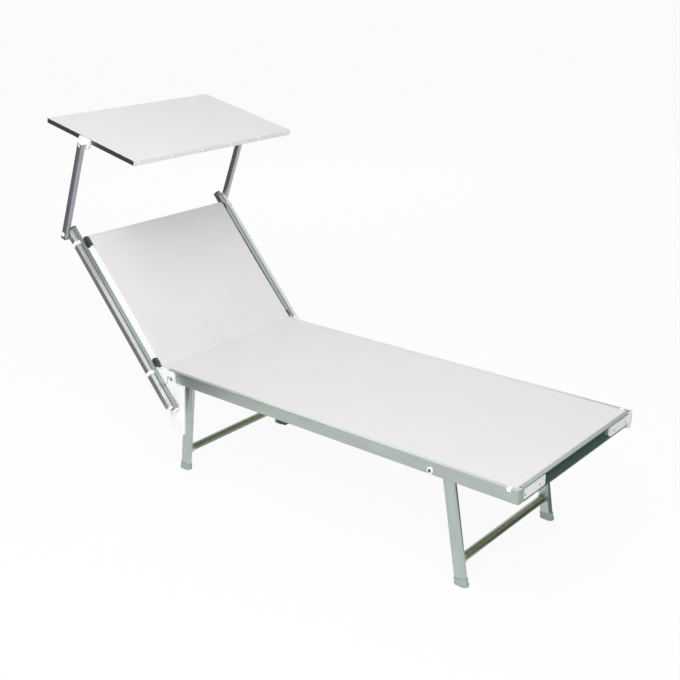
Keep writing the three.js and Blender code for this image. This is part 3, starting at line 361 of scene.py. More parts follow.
FINISHES = {
    "seat_rail": anodised("anodised rail", RAIL_GREY, 0.32, ALONG),
    # The foot rail: its grey darkened as painted shade, and a still darker painted shade in its
    # recess.
    "foot_rail": anodised("anodised foot rail", FOOT_RAIL_SHADE_GREY, 0.34, ACROSS, painted_recess_shade,
                          (0.150, 0.255, 0.205)),
    "mid_tube": anodised("anodised cross tube", TUBE_GREY, 0.36, ACROSS, saddle_ends,
                         (0.060, 0.066, 0.062)),
    "front_axle": cross_tube,
    "rear_axle": cross_tube,
    "front_stretcher": stretcher_tube,
    "rear_stretcher": stretcher_tube,
    "back_tube_low": cross_tube,
    "back_tube_high": cross_tube,
    "front_leg": anodised("anodised front leg", LEG_GREY, 0.26, ALONG_FRONT_LEG),
    "rear_leg": anodised("anodised rear leg", LEG_GREY, 0.26, ALONG_REAR_LEG),
    "back_rail": anodised("anodised back rail", BACK_GREY, 0.27, ALONG_BACK),
    "support_bar": anodised("anodised bar", BAR_GREY, 0.22, ALONG_BACK),
    "canopy_arm": anodised("anodised arm", ARM_GREY, 0.25, ALONG_ARM),
    "canopy_side_tube": anodised("anodised side tube", CANOPY_GREY, 0.3, ALONG_CANOPY),
    "canopy_rear_tube": canopy_tube,
    "canopy_front_tube": canopy_tube,
    "rail_end_cap": grey_nylon,
    "corner_plate": white_nylon,
    "hinge_plate": white_nylon,
    "front_leg_bracket": white_nylon,
    "rear_leg_bracket": white_nylon,
    "front_foot": grey_nylon,
    "rear_foot": grey_nylon,
    "hinge_pin": bright_steel,
    "tube_fitting_low": dark_nylon,
    "tube_fitting_high": dark_nylon,
    "bar_clip_low": white_nylon,
    "bar_clip_high": white_nylon,
    "bar_cap": white_nylon,
    "arm_bolt": white_nylon,
    "clamp_bolt": bright_steel,
    "canopy_clamp": white_nylon,
    "seat_fabric": cloth_white,
    "back_fabric": cloth_white,
    "canopy_fabric": cloth_white,
}


EDGE_ROUND = 0.0004
SHARP = math.radians(32)
FLAT = math.radians(0.6)
SAME_POINT = 1e-6


def soften_edges(node):
    """Rounds a node's sharp edges slightly, so that they catch the light as real ones do."""
    node.data.shade_smooth()
    weld = node.modifiers.new("weld", "WELD")
    weld.merge_threshold = SAME_POINT
    flat = node.modifiers.new("flat faces", "DECIMATE")
    flat.decimate_type = "DISSOLVE"
    flat.angle_limit = FLAT
    edges = node.modifiers.new("broken edges", "BEVEL")
    edges.width = EDGE_ROUND
    edges.segments = 2
    edges.limit_method = "ANGLE"
    edges.angle_limit = SHARP
    node.modifiers.new("face normals", "WEIGHTED_NORMAL")


def dress_nodes():
    """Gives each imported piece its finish, the same on both sides but for one white end cap."""
    for name, node in nodes.items():
        finish = FINISHES[name.removesuffix("_right").removesuffix("_left")]
        if name == "rail_end_cap_left":
            finish = white_nylon
        for material_slot in node.material_slots:
            material_slot.material = finish
        soften_edges(node)


bpy.ops.object.select_all(action="DESELECT")
dress_nodes()

# Pieces


def finished(piece, name, material, smooth=35):
    """Names a piece, gives it its finish and puts its place into its mesh."""
    piece.name = name
    piece.data.name = name
    piece.data.transform(piece.matrix_world)
    piece.matrix_world = Matrix.Identity(4)
    piece.data.materials.clear()
    piece.data.materials.append(material)
    bpy.ops.object.select_all(action="DESELECT")
    piece.select_set(True)
    bpy.context.view_layer.objects.active = piece
    bpy.ops.object.shade_smooth_by_angle(angle=math.radians(smooth))
    piece.select_set(False)


def apply_modifiers(piece):
    bpy.ops.object.select_all(action="DESELECT")
    piece.select_set(True)
    bpy.context.view_layer.objects.active = piece
    for modifier in list(piece.modifiers):
        bpy.ops.object.modifier_apply(modifier=modifier.name)
    piece.select_set(False)


def turned_piece(profile, at, facing, sides=24):
    """Turned from a disc: profile is radius and height, along facing from at."""
    bpy.ops.object.select_all(action="DESELECT")
    (radius, height), *rest = profile
    start = height
    bpy.ops.mesh.primitive_circle_add(vertices=sides, radius=radius, fill_type="NGON")
    piece = bpy.context.object
    bpy.ops.object.mode_set(mode="EDIT")
    bpy.ops.mesh.select_all(action="SELECT")
    for next_radius, next_height in rest:
        bpy.ops.mesh.extrude_region_move(
            TRANSFORM_OT_translate={"value": (0, 0, next_height - height)})
        grow = next_radius / radius
        bpy.ops.transform.resize(value=(grow, grow, 1), center_override=(0, 0, 0))
        radius, height = next_radius, next_height
    bpy.ops.mesh.select_all(action="SELECT")
    bpy.ops.mesh.normals_make_consistent(inside=False)
    bpy.ops.object.mode_set(mode="OBJECT")
    turn = UP.rotation_difference(facing).to_matrix().to_4x4()
    piece.matrix_world = Matrix.Translation(at) @ turn @ Matrix.Translation((0, 0, start))
    bpy.context.view_layer.update()
    return piece


# Sheets: a row of cloth for each step along, a point for each step across


def cloth_from_rows(name, rows, uvs, skip=()):
    mesh = bpy.data.meshes.new(name)
    shape = bmesh.new()
    uv_layer = shape.loops.layers.uv.new("cloth")
    grid = [[shape.verts.new(point) for point in row] for row in rows]
    for i in range(len(grid) - 1):
        for j in range(len(grid[i]) - 1):
            if (i, j) in skip:
                continue
            corners = [(i, j), (i, j + 1), (i + 1, j + 1), (i + 1, j)]
            face = shape.faces.new([grid[a][b] for a, b in corners])
            for loop, (a, b) in zip(face.loops, corners):
                loop[uv_layer].uv = uvs[a][b]
    loose = [vertex for vertex in shape.verts if not vertex.link_faces]
    bmesh.ops.delete(shape, geom=loose, context="VERTS")
    shape.to_mesh(mesh)
    shape.free()
    piece = bpy.data.objects.new(name, mesh)
    scene.collection.objects.link(piece)
    wall = piece.modifiers.new("cloth", "SOLIDIFY")
    wall.thickness = CLOTH
    wall.offset = 0
    apply_modifiers(piece)
    return piece


def spaced(start, end, step):
    count = max(1, round(abs(end - start) / step))
    return [start + (end - start) * i / count for i in range(count + 1)]


def smoothstep(low, high, value):
    t = min(1.0, max(0.0, (value - low) / (high - low)))
    return t * t * (3 - 2 * t)


class Station:
    """A step along a sheet: its middle, the cloth's upward side, and what it lies on."""

    def __init__(self, point, normal, zone, share=0.0):
        self.point, self.normal, self.zone, self.share = point, normal, zone, share


# The lounge sheet's places and widths
SHEET_STEP = 0.010
SHEET_COLUMNS = 44
FOOT_GROOVE = 0.015  # behind the foot face
SIDE_GROOVE = 0.013  # inside of the side rails' outer faces
WELT_DROP = 0.0075
WELT_ROUND = 0.0022
WELT_TURNS = (50, 0, -60, -120, -180, -235)  # degrees round the cord in the foot groove
WELT_NECK = (0.0045, 0.0025)  # under the sheet's level, on the way up from the cord
LIP_BEND = 0.0013  # radius over the foot groove's lip
LIP_TURNS = (20, 55, 90)
FOLD_ROUND = 0.014  # radius of the crease between seat and back
FOLD_STEPS = 6
NARROWED = -0.45  # here the sheet has come in from the grooves to the back's width
FOLDS_FROM = RAIL_REAR - 0.002  # from here its hems turn from the grooves' form to the folded one
BACK_HALF = 0.3015
WAIST = 0.003  # drawn in by this on each side, half way up the back
WRAP = math.radians(140)  # on from the square, round the high back tube
WRAP_STEPS = 20
SEAM_STEPS = 4
SEAM_LOW = 0.4735
SEAM_ALLOWANCE = 0.010
SEAM_GAP = 0.0026  # from the sheet to the part that comes back to its seam
SEAM_PRESSED = 0.0018  # and where they are sewn together
SEAM_END_GAP = 0.0012
SEAT_SAG = 0.0022
BACK_SAG = 0.0030
SAG_POWER = 0.8  # of a sine: under 1, so that the sag is flatter in the middle
BARE_FOOT = 0.026  # the sheet's sides have no hem this close to the foot face

# Hems and stitches
SEWN = 0.036  # from the back sheet's side edges to their stitches
CANOPY_SEWN = 0.014
SEWN_STEP = 0.006  # shares across, on each side of a row of stitches
SEWN_CLEAR = 0.008
HEM_RISE = 0.0005
HEM_STEP = (-0.004, 0.003)  # about the stitches, where the hem's rise comes in
HEM_IN_GROOVE = [(0.0, 0.0), (0.0, 0.0025), (0.0, 0.0048), (0.0018, 0.0063), (0.0020, 0.0087),
                 (0.0, 0.0099), (-0.0019, 0.0085), (-0.0017, 0.0064)]
HEM_FOLDED = [(0.0, 0.0), (0.0001, 0.0006), (0.0012, 0.0010), (0.008, 0.0010), (0.016, 0.0010),
              (0.024, 0.0010), (0.031, 0.0010), (0.038, 0.0010)]
PUCKER = 0.00022
PUCKER_START = 0.72  # share of the half width
PUCKER_LONG, PUCKER_SHORT = 170, 263  # radians per metre of the two waves in it


def columns(steps, sewn_share):
    """Shares across a sheet, closer together at its edges and at its rows of stitches."""
    even = [math.sin(math.pi / 2 * (2 * i / steps - 1)) for i in range(steps + 1)]
    sewn = [side * (1 - sewn_share + shift)
            for side in (-1, 1) for shift in (-SEWN_STEP, 0, SEWN_STEP)]
    clear = [share for share in even if all(abs(share - at) > SEWN_CLEAR for at in sewn)]
    return sorted(clear + sewn)


def around(middle, radius, forward, upward, turn, zone):
    """A station on a round stretch, turned by an angle from forward towards upward."""
    out = forward * math.cos(turn) + upward * math.sin(turn)
    return Station(middle + out * radius, out, zone)


def foot_stations():
    """Round the welt cord in the foot groove, and out over the groove's lip."""
    groove_x = FOOT_FACE - FOOT_GROOVE
    cord = Vector((groove_x, 0, SHEET_LEVEL - WELT_DROP))
    lip = Vector((groove_x - LIP_BEND, 0, SHEET_LEVEL - LIP_BEND))
    return [
        *(around(cord, WELT_ROUND, FORWARD, UP, math.radians(angle), "welt") for angle in WELT_TURNS),
        *(Station(Vector((groove_x, 0, SHEET_LEVEL - drop)), FORWARD, "welt") for drop in WELT_NECK),
        *(around(lip, LIP_BEND, FORWARD, UP, math.radians(angle), "bend") for angle in LIP_TURNS),
    ]


def seat_and_back_stations(start):
    """Along the seat from start, round the crease at the hinge, and up the back."""
    level = SHEET_LEVEL - HINGE.z
    fold_up = (level - BACK_SHEET_RISE * math.cos(BACK_ANGLE)) / math.sin(BACK_ANGLE)
    run = FOLD_ROUND * math.tan(BACK_ANGLE / 2)
    end = on_back(fold_up, BACK_SHEET_RISE).x + run
    stations = []
    for x in spaced(start, end, SHEET_STEP)[1:]:
        share = (start - x) / (start - end)
        stations.append(Station(Vector((x, 0, SHEET_LEVEL)), UP, "seat", share))
    centre = Vector((end, 0, SHEET_LEVEL + FOLD_ROUND))
    for i in range(1, FOLD_STEPS + 1):
        turn = BACK_ANGLE * i / FOLD_STEPS
        out = -UP * math.cos(turn) - FORWARD * math.sin(turn)
        stations.append(Station(centre + out * FOLD_ROUND, -out, "fold", 1.0))
    for up in spaced(fold_up + run, HIGH_TUBE, SHEET_STEP)[1:]:
        share = (up - LOW_TUBE) / (HIGH_TUBE - LOW_TUBE)
        stations.append(Station(on_back(up, BACK_SHEET_RISE), BACK_OUT, "back", max(0.0, share)))
    return stations


def head_stations():
    """Round the high back tube and back to the seam behind the sheet."""
    tube = on_back(HIGH_TUBE, TUBE_RISE)
    stations = []
    for i in range(1, WRAP_STEPS + 1):
        turn = math.pi / 2 - (math.pi / 2 + WRAP) * i / WRAP_STEPS
        stations.append(around(tube, TUBE_ROUND, BACK_UP, BACK_OUT, turn, "wrap"))
    last = stations[-1]
    seam = on_back(SEAM_LOW, BACK_SHEET_RISE - SEAM_GAP)
    for i in range(1, SEAM_STEPS):
        stations.append(Station(last.point.lerp(seam, i / SEAM_STEPS), last.normal, "wrap"))
    for share in (0.0, 0.4, 1.0):
        behind = SEAM_PRESSED - (SEAM_PRESSED - SEAM_END_GAP) * share
        at = on_back(SEAM_LOW - SEAM_ALLOWANCE * share, BACK_SHEET_RISE - behind)
        stations.append(Station(at, -BACK_OUT, "seam"))
    return stations


def lounge_stations():
    """The long sheet's side view, from the foot groove to the seam behind the top tube."""
    foot = foot_stations()
    return [*foot, *seat_and_back_stations(foot[-1].point.x), *head_stations()]


def lounge_half_width(station):
    groove = RAIL_OUTSIDE - SIDE_GROOVE
    if station.zone in ("welt", "bend", "seat"):
        if station.point.x > RAIL_REAR:
            return groove
        return groove + (BACK_HALF - groove) * smoothstep(RAIL_REAR, NARROWED, station.point.x)
    if station.zone == "back":
        return BACK_HALF - WAIST * math.sin(math.pi * station.share)
    return BACK_HALF


def ripple(along, across_share):
    """Small puckers that run in from a stitched side hem."""
    near_edge = max(0.0, (abs(across_share) - PUCKER_START) / (1 - PUCKER_START))
    wave = math.sin(along * PUCKER_LONG) + 0.6 * math.sin(along * PUCKER_SHORT + 1.3)
    return PUCKER * near_edge * near_edge * wave


def hem_at(folded):
    """The hem's outline, between the one in the groove and the folded one."""
    return [
        ((1 - folded) * a[0] + folded * b[0], (1 - folded) * a[1] + folded * b[1])
        for a, b in zip(HEM_IN_GROOVE, HEM_FOLDED)
    ]


def lounge_row(station, along, across):
    """The points of one row of the long sheet with its hems, and their places on the cloth."""
    half = lounge_half_width(station)
    folded = 1.0 if station.zone in ("fold", "back", "wrap", "seam") else (
        1 - smoothstep(NARROWED, FOLDS_FROM, station.point.x))
    hem = hem_at(folded)[1:]
    sag = {"seat": SEAT_SAG, "back": BACK_SAG}.get(station.zone, 0.0)
    dip = sag * math.sin(math.pi * min(1.0, station.share)) ** SAG_POWER
    row, row_uv = [], []
    for inward, drop in reversed(hem):
        row.append(station.point - station.normal * drop - LEFT * (half - inward))
        row_uv.append((-half - drop, along))
    for share in across:
        lift = -dip * (1 - share * share)
        lift += HEM_RISE * folded * smoothstep(*HEM_STEP, abs(share) * half - half + SEWN)
        if station.zone == "back":
            lift += ripple(along, share)
        row.append(station.point + station.normal * lift + LEFT * (half * share))
        row_uv.append((half * share, along))
    for inward, drop in hem:
        row.append(station.point - station.normal * drop + LEFT * (half - inward))
        row_uv.append((half + drop, along))
    return row, row_uv


def without_hem(station):
    return (station.zone in ("welt", "bend", "wrap", "seam")
            or station.point.x > FOOT_FACE - BARE_FOOT)


def make_lounge_sheet():
    stations = lounge_stations()
    across = columns(SHEET_COLUMNS, SEWN / BACK_HALF)
    rows, uvs, along = [], [], 0.0
    for k, station in enumerate(stations):
        if k:
            along += (station.point - stations[k - 1].point).length
        row, row_uv = lounge_row(station, along, across)
        rows.append(row)
        uvs.append(row_uv)
    hem_steps = len(HEM_IN_GROOVE) - 1
    count = len(rows[0])
    edge_faces = [*range(hem_steps), *range(count - 1 - hem_steps, count - 1)]
    skip = {(i, j) for i, station in enumerate(stations) if without_hem(station)
            for j in edge_faces}
    piece = cloth_from_rows("lounge_sheet", rows, uvs, skip=skip)
    flat_rows = [row[hem_steps:count - hem_steps] for row in rows]
    return piece, along, stations, across, flat_rows


lounge_sheet, lounge_length, stations, across, lounge_rows = make_lounge_sheet()
finished(lounge_sheet, "lounge_sheet", cloth_white, smooth=60)
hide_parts("seat_fabric", "back_fabric")
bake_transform(lounge_sheet)

# Stitches
STITCH_LENGTH = 0.0034
STITCH_PITCH = 0.0046
STITCH_END = 0.25  # share of its length that dives into the cloth at each end
THREAD = 0.00042
FACING = 0.9  # a face with this share of its normal along an axis faces that way
HEAD_STITCHES = SEAM_LOW - 0.004
POCKET_STITCHES = LOW_TUBE + 0.041


def pick(piece, wanted):
    """In edit mode, selects the faces that wanted agrees to."""
    bpy.ops.mesh.select_mode(type="FACE")
    bpy.ops.mesh.select_all(action="DESELECT")
    shape = bmesh.from_edit_mesh(piece.data)
    for face in shape.faces:
        if wanted(face):
            face.select_set(True)
    bmesh.update_edit_mesh(piece.data)


def make_stitch():
    """One stitch along x: a six-sided bar whose ends dive into the cloth."""
    bpy.ops.object.select_all(action="DESELECT")
    straight = STITCH_LENGTH * (1 - 2 * STITCH_END)
    bpy.ops.mesh.primitive_cylinder_add(vertices=6, radius=THREAD, depth=straight,
                                        rotation=(0, math.pi / 2, 0))
    stitch = bpy.context.object
    bpy.ops.object.transform_apply(location=False, rotation=True, scale=False)
    bpy.ops.object.mode_set(mode="EDIT")
    for end in (-1, 1):
        pick(stitch, lambda face: face.normal.x * end > FACING)
        dive = (end * STITCH_LENGTH * STITCH_END, 0, -THREAD * 1.2)
        bpy.ops.mesh.extrude_region_move(TRANSFORM_OT_translate={"value": dive})
    bpy.ops.object.mode_set(mode="OBJECT")
    return stitch


one_stitch = make_stitch()


def sew(name, line, normals, body):
    """A row of copies of the stitch along a line of points on a sheet."""
    row = bmesh.new()
    travelled = STITCH_PITCH / 2
    for start, end, normal in zip(line, line[1:], normals):
        step = end - start
        while travelled < step.length:
            along = step.normalized()
            side = normal.cross(along).normalized()
            place = Matrix((along, side, along.cross(side))).transposed().to_4x4()
            place.translation = start + along * travelled + normal * (CLOTH / 2 + THREAD * 0.2)
            copy = one_stitch.data.copy()
            copy.transform(place)
            row.from_mesh(copy)
            bpy.data.meshes.remove(copy)
            travelled += STITCH_PITCH
        travelled -= step.length
    mesh = bpy.data.meshes.new(name)
    row.to_mesh(mesh)
    row.free()
    piece = bpy.data.objects.new(name, mesh)
    scene.collection.objects.link(piece)
    finished(piece, name, thread_white, smooth=50)
    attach(piece, body)


def along_column(stations, rows, column, zone):
    chosen = [k for k, station in enumerate(stations) if station.zone == zone]
    return [rows[k][column] for k in chosen], [stations[k].normal for k in chosen]


def across_row(stations, rows, zone, place):
    """The row of the sheet in a zone that lies nearest to a place."""
    chosen = [k for k, station in enumerate(stations) if station.zone == zone]
    k = min(chosen, key=lambda k: (stations[k].point - place).length)
    return rows[k], [stations[k].normal] * len(rows[k])


def column_at(across, share):
    return min(range(len(across)), key=lambda j: abs(across[j] - share))


for side, sign in SIDES:
    column = column_at(across, sign * (1 - SEWN / BACK_HALF))
    sew(f"back_hem_stitches_{side}", *along_column(stations, lounge_rows, column, "back"),
        "backrest")
sew("head_seam_stitches",
    *across_row(stations, lounge_rows, "back", on_back(HEAD_STITCHES, BACK_SHEET_RISE)),
    "backrest")
sew("low_pocket_stitches",
    *across_row(stations, lounge_rows, "back", on_back(POCKET_STITCHES, BACK_SHEET_RISE)),
    "backrest")

# The pocket behind the long sheet, which holds it to the low tube
SLEEVE_HALF = 0.2955
SLEEVE_SEWN = [(0.044, 0.0012), (0.034, 0.0016), (0.0275, 0.0028)]  # up from the tube, and behind
SLEEVE_START = math.radians(40)
SLEEVE_TURN = math.radians(190)
SLEEVE_STEPS = 20
SLEEVE_COLUMNS = 30


def make_low_sleeve():
    """A strip that is sewn to the sheet above the low tube and goes round the tube."""
    middle = on_back(LOW_TUBE, TUBE_RISE)
    path = [on_back(LOW_TUBE + up, BACK_SHEET_RISE - behind) for up, behind in SLEEVE_SEWN]
    for i in range(SLEEVE_STEPS + 1):
        turn = -SLEEVE_START - SLEEVE_TURN * i / SLEEVE_STEPS
        path.append(around(middle, TUBE_ROUND, BACK_UP, BACK_OUT, turn, "sleeve").point)
    rows, uvs, along = [], [], 0.0
    across = [2 * i / SLEEVE_COLUMNS - 1 for i in range(SLEEVE_COLUMNS + 1)]
    for k, point in enumerate(path):
        if k:
            along += (point - path[k - 1]).length
        rows.append([point + LEFT * (SLEEVE_HALF * share) for share in across])
        uvs.append([(SLEEVE_HALF * share, along) for share in across])
    return cloth_from_rows("low_tube_sleeve", rows, uvs), along


low_sleeve, sleeve_length = make_low_sleeve()
finished(low_sleeve, "low_tube_sleeve", cloth_white, smooth=60)
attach(low_sleeve, "backrest")

# Canopy sheet
CANOPY_REAR = -0.197
CANOPY_FRONT = 0.227
CANOPY_TOP = 0.0248
CANOPY_HALF = 0.342
CANOPY_SAG = 0.0035
CANOPY_SAG_POWER = 0.7
CANOPY_ROUND = 0.0026
CANOPY_ROUND_STEPS = 5
CANOPY_STEP = 0.009
CANOPY_COLUMNS = 48
CANOPY_HEM_FROM, CANOPY_HEM_TO = CANOPY_SEWN - 0.001, CANOPY_SEWN + 0.004
FLAP_LOW = CANOPY_TOP - 0.0172
FLAP_STEP = 0.0028


def canopy_path():
    """Side view points of the canopy sheet and their outward sides, rear flap to front."""
    top = CANOPY_TOP - CLOTH / 2
    rear = CANOPY_REAR + CLOTH / 2
    front = CANOPY_FRONT - CLOTH / 2

    def quarter(centre, start):
        """A quarter turn over a tube's edge, from an angle to a right angle less."""
        for i in range(1, CANOPY_ROUND_STEPS + 1):
            turn = start - math.pi / 2 * i / CANOPY_ROUND_STEPS
            out = (math.cos(turn), math.sin(turn))
            path.append((centre + CANOPY_ROUND * out[0],
                         top - CANOPY_ROUND + CANOPY_ROUND * out[1], out, 0.0))

    path = [(rear, v, (-1, 0), 0.0) for v in spaced(FLAP_LOW, top - CANOPY_ROUND, FLAP_STEP)]
    quarter(rear + CANOPY_ROUND, math.pi)
    for u in spaced(rear + CANOPY_ROUND, front - CANOPY_ROUND, CANOPY_STEP)[1:]:
        path.append((u, top, (0, 1), (u - rear) / (front - rear)))
    quarter(front - CANOPY_ROUND, math.pi / 2)
    path += [(front, v, (1, 0), 0.0)
             for v in spaced(top - CANOPY_ROUND, FLAP_LOW, FLAP_STEP)[1:]]
    return path


def make_canopy_sheet():
    path = canopy_path()
    across = columns(CANOPY_COLUMNS, CANOPY_SEWN / CANOPY_HALF)
    rows, uvs, along = [], [], 0.0
    for k, (u, v, out, share) in enumerate(path):
        if k:
            along += math.dist((u, v), path[k - 1][:2])
        dip = CANOPY_SAG * math.sin(math.pi * share) ** CANOPY_SAG_POWER if share else 0.0
        row, row_uv = [], []
        for side in across:
            lift = -dip * (1 - side * side) + (ripple(along, side) if share else 0.0)
            inward = CANOPY_HALF * (1 - abs(side))
            lift -= HEM_RISE * smoothstep(CANOPY_HEM_FROM, CANOPY_HEM_TO, inward)
            row.append(on_canopy(u + out[0] * lift, v + out[1] * lift, CANOPY_HALF * side))
            row_uv.append((CANOPY_HALF * side, along))
        rows.append(row)
        uvs.append(row_uv)
    stations = [Station(on_canopy(u, v), CANOPY_FORWARD * out[0] + CANOPY_UP * out[1],
                        "top" if share else "flap") for u, v, out, share in path]
    return cloth_from_rows("canopy_sheet", rows, uvs), along, stations, across, rows


canopy_sheet, canopy_length, stations, across, canopy_rows = make_canopy_sheet()
finished(canopy_sheet, "canopy_sheet", cloth_white, smooth=60)
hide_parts("canopy_fabric")
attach(canopy_sheet, "canopy")
for side, sign in SIDES:
    column = column_at(across, sign * (1 - CANOPY_SEWN / CANOPY_HALF))
    sew(f"canopy_hem_stitches_{side}", *along_column(stations, canopy_rows, column, "top"),
        "canopy")
for edge, forward in (("front", CANOPY_FRONT - CANOPY_SEWN), ("rear", CANOPY_REAR + CANOPY_SEWN)):
    sew(f"canopy_hem_stitches_{edge}",
        *across_row(stations, canopy_rows, "top", on_canopy(forward, CANOPY_TOP)), "canopy")
bpy.data.objects.remove(one_stitch)

# Press studs that hold the canopy sheet's flaps
STUD_PLACES = (-0.320, -0.192, -0.064, 0.064, 0.192, 0.320)
STUD_DROP = 0.00875
STUD = [(0.0048, 0.0), (0.0048, 0.0007), (0.0043, 0.0012), (0.0036, 0.0012), (0.0030, 0.0017),
        (0.0016, 0.0021), (0.0004, 0.0022)]
for row, forward, facing in (("front", CANOPY_FRONT, CANOPY_FORWARD),
                             ("rear", CANOPY_REAR, -CANOPY_FORWARD)):
    for number, place in enumerate(STUD_PLACES, 1):
        stud = turned_piece(STUD, on_canopy(forward, CANOPY_TOP - STUD_DROP, place), facing, sides=20)
        finished(stud, f"press_stud_{row}_{number}", white_nylon)
        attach(stud, "canopy")

# Screws in the corner plates
SCREW_PLACES = (0.203, 0.273)
SCREW_DROP = 0.024
PLATE_SETBACK = 0.0015
SCREW_SUNK = 0.0024
SCREW = [(0.0038, 0.0), (0.0038, 0.0010), (0.0034, 0.0018), (0.0024, 0.0022), (0.0014, 0.0022),
         (0.0011, 0.0012), (0.0004, 0.0011)]
for side, sign in SIDES:
    for number, place in enumerate(SCREW_PLACES, 1):
        at = Vector((FOOT_FACE - PLATE_SETBACK - SCREW_SUNK, sign * place, SEAT_TOP - SCREW_DROP))
        screw = turned_piece(SCREW, at, FORWARD, sides=18)
        finished(screw, f"corner_screw_{side}_{number}", bright_steel)
        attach(screw, "seat_frame")

# White caps over the rivets of the front axle, with a dark centre
CAP_GAP = 0.0003
CAP = [(0.0100, 0.0), (0.0100, 0.0016), (0.0092, 0.0036), (0.0078, 0.0044), (0.0060, 0.0046),
       (0.0056, 0.0036), (0.0006, 0.0036)]
CAP_CENTRE = [(0.0050, 0.0037), (0.0050, 0.0045), (0.0042, 0.0053), (0.0005, 0.0055)]
for side, sign in SIDES:
    at = Vector((FRONT_AXLE.x, sign * (RAIL_OUTSIDE + CAP_GAP), FRONT_AXLE.z))
    cap = turned_piece(CAP, at, LEFT * sign)
    finished(cap, f"axle_cap_{side}", white_nylon)
    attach(cap, "seat_frame")
    centre = turned_piece(CAP_CENTRE, at, LEFT * sign, sides=16)
    finished(centre, f"axle_cap_centre_{side}", dark_nylon)
    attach(centre, "seat_frame")


def soft_box(low, high, bevel, axes=(FORWARD, LEFT, UP), origin=Vector()):
    """A block with softened edges, modelled from a cube at its size and place."""
    bpy.ops.object.select_all(action="DESELECT")
    bpy.ops.mesh.primitive_cube_add(size=1)
    piece = bpy.context.object
    size = [b - a for a, b in zip(low, high)]
    middle = [(a + b) / 2 for a, b in zip(low, high)]
    place = Matrix([[*axis, 0] for axis in axes] + [[0, 0, 0, 1]]).transposed()
    place.translation = origin
    piece.data.transform(Matrix.Diagonal((*size, 1)))
    piece.data.transform(Matrix.Translation(middle))
    bpy.ops.object.mode_set(mode="EDIT")
    bpy.ops.mesh.select_all(action="SELECT")
    bpy.ops.mesh.bevel(offset=bevel, segments=3, affect="EDGES")
    bpy.ops.mesh.normals_make_consistent(inside=False)
    bpy.ops.object.mode_set(mode="OBJECT")
    piece.matrix_world = place
    bpy.context.view_layer.update()
    return piece


# Plugs in the notches where the cord was fed into the side rails
FEED_PLUG_FROM, FEED_PLUG_TO = 0.0355, 0.0225  # behind the foot face
FEED_PLUG_IN, FEED_PLUG_OUT = 0.0118, 0.0010  # from the rail's outer face
FEED_PLUG_DEPTH, FEED_PLUG_PROUD = 0.0038, 0.0006
FEED_PLUG_ROUND = 0.0008
FEED_PLUG_LIP = 0.0050
LIP_GAP = 0.0003


def drop_lip(plug, sign, drop):
    """Draws the outer edge of a feed plug's underside down over the rail's outside."""
    cut_at = sign * (RAIL_OUTSIDE + LIP_GAP)
    bpy.ops.object.mode_set(mode="EDIT")
    bpy.ops.mesh.select_all(action="SELECT")
    bpy.ops.mesh.bisect(plane_co=(0, cut_at, 0), plane_no=(0, 1, 0))
    pick(plug, lambda face: face.normal.z < -FACING
         and sign * face.calc_center_median().y > sign * cut_at)
    bpy.ops.mesh.extrude_region_move(TRANSFORM_OT_translate={"value": (0, 0, -drop)})
    bpy.ops.object.mode_set(mode="OBJECT")


for side, sign in SIDES:
    low_y, high_y = sorted((sign * (RAIL_OUTSIDE - FEED_PLUG_IN),
                            sign * (RAIL_OUTSIDE + FEED_PLUG_OUT)))
    plug = soft_box((FOOT_FACE - FEED_PLUG_FROM, low_y, SEAT_TOP - FEED_PLUG_DEPTH),
                    (FOOT_FACE - FEED_PLUG_TO, high_y, SEAT_TOP + FEED_PLUG_PROUD),
                    FEED_PLUG_ROUND)
    drop_lip(plug, sign, FEED_PLUG_LIP)
    finished(plug, f"feed_plug_{side}", white_nylon)
    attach(plug, "seat_frame")

# Canopy arms: a dark cap in the open lower end, a white one in the upper end
ARM_INSIDE, ARM_OUTSIDE = 0.3502, 0.3692
ARM_HALF_DEEP = 0.0115
ARM_TAIL, ARM_REACH = 0.014, 0.335
ARM_CAP = 0.003
ARM_CAP_ROUND = 0.0011
for side, sign in SIDES:
    low_y, high_y = sorted((sign * ARM_INSIDE, sign * ARM_OUTSIDE))
    for end, low_up, finish, slot in (
            ("low", -ARM_TAIL - ARM_CAP, dark_nylon, "dark_nylon"),
            ("high", ARM_REACH, white_nylon, "white_nylon")):
        cap = soft_box((low_up, low_y, -ARM_HALF_DEEP), (low_up + ARM_CAP, high_y, ARM_HALF_DEEP),
                       ARM_CAP_ROUND, axes=(ARM_UP, LEFT, ARM_BACK), origin=ARM_PIVOT)
        finished(cap, f"arm_cap_{end}_{side}", finish)
        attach(cap, "canopy_arms")

# Dark cheeks on the fittings that join the back tubes to the rails
CHEEK = [(0.0180, 0.0), (0.0195, 0.0012), (0.0195, 0.0042), (0.0183, 0.0056), (0.0115, 0.0058),
         (0.0105, 0.0048), (0.0006, 0.0048)]
CHEEK_OUTSIDE = 0.3094
CHEEK_PLACES = (("low", LOW_TUBE + 0.002), ("high", HIGH_TUBE - 0.006))
for side, sign in SIDES:
    for end, up in CHEEK_PLACES:
        at = on_back(up, TUBE_RISE, sign * CHEEK_OUTSIDE)
        cheek = turned_piece(CHEEK, at, LEFT * -sign, sides=32)
        finished(cheek, f"tube_cheek_{end}_{side}", dark_nylon)
        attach(cheek, "backrest")

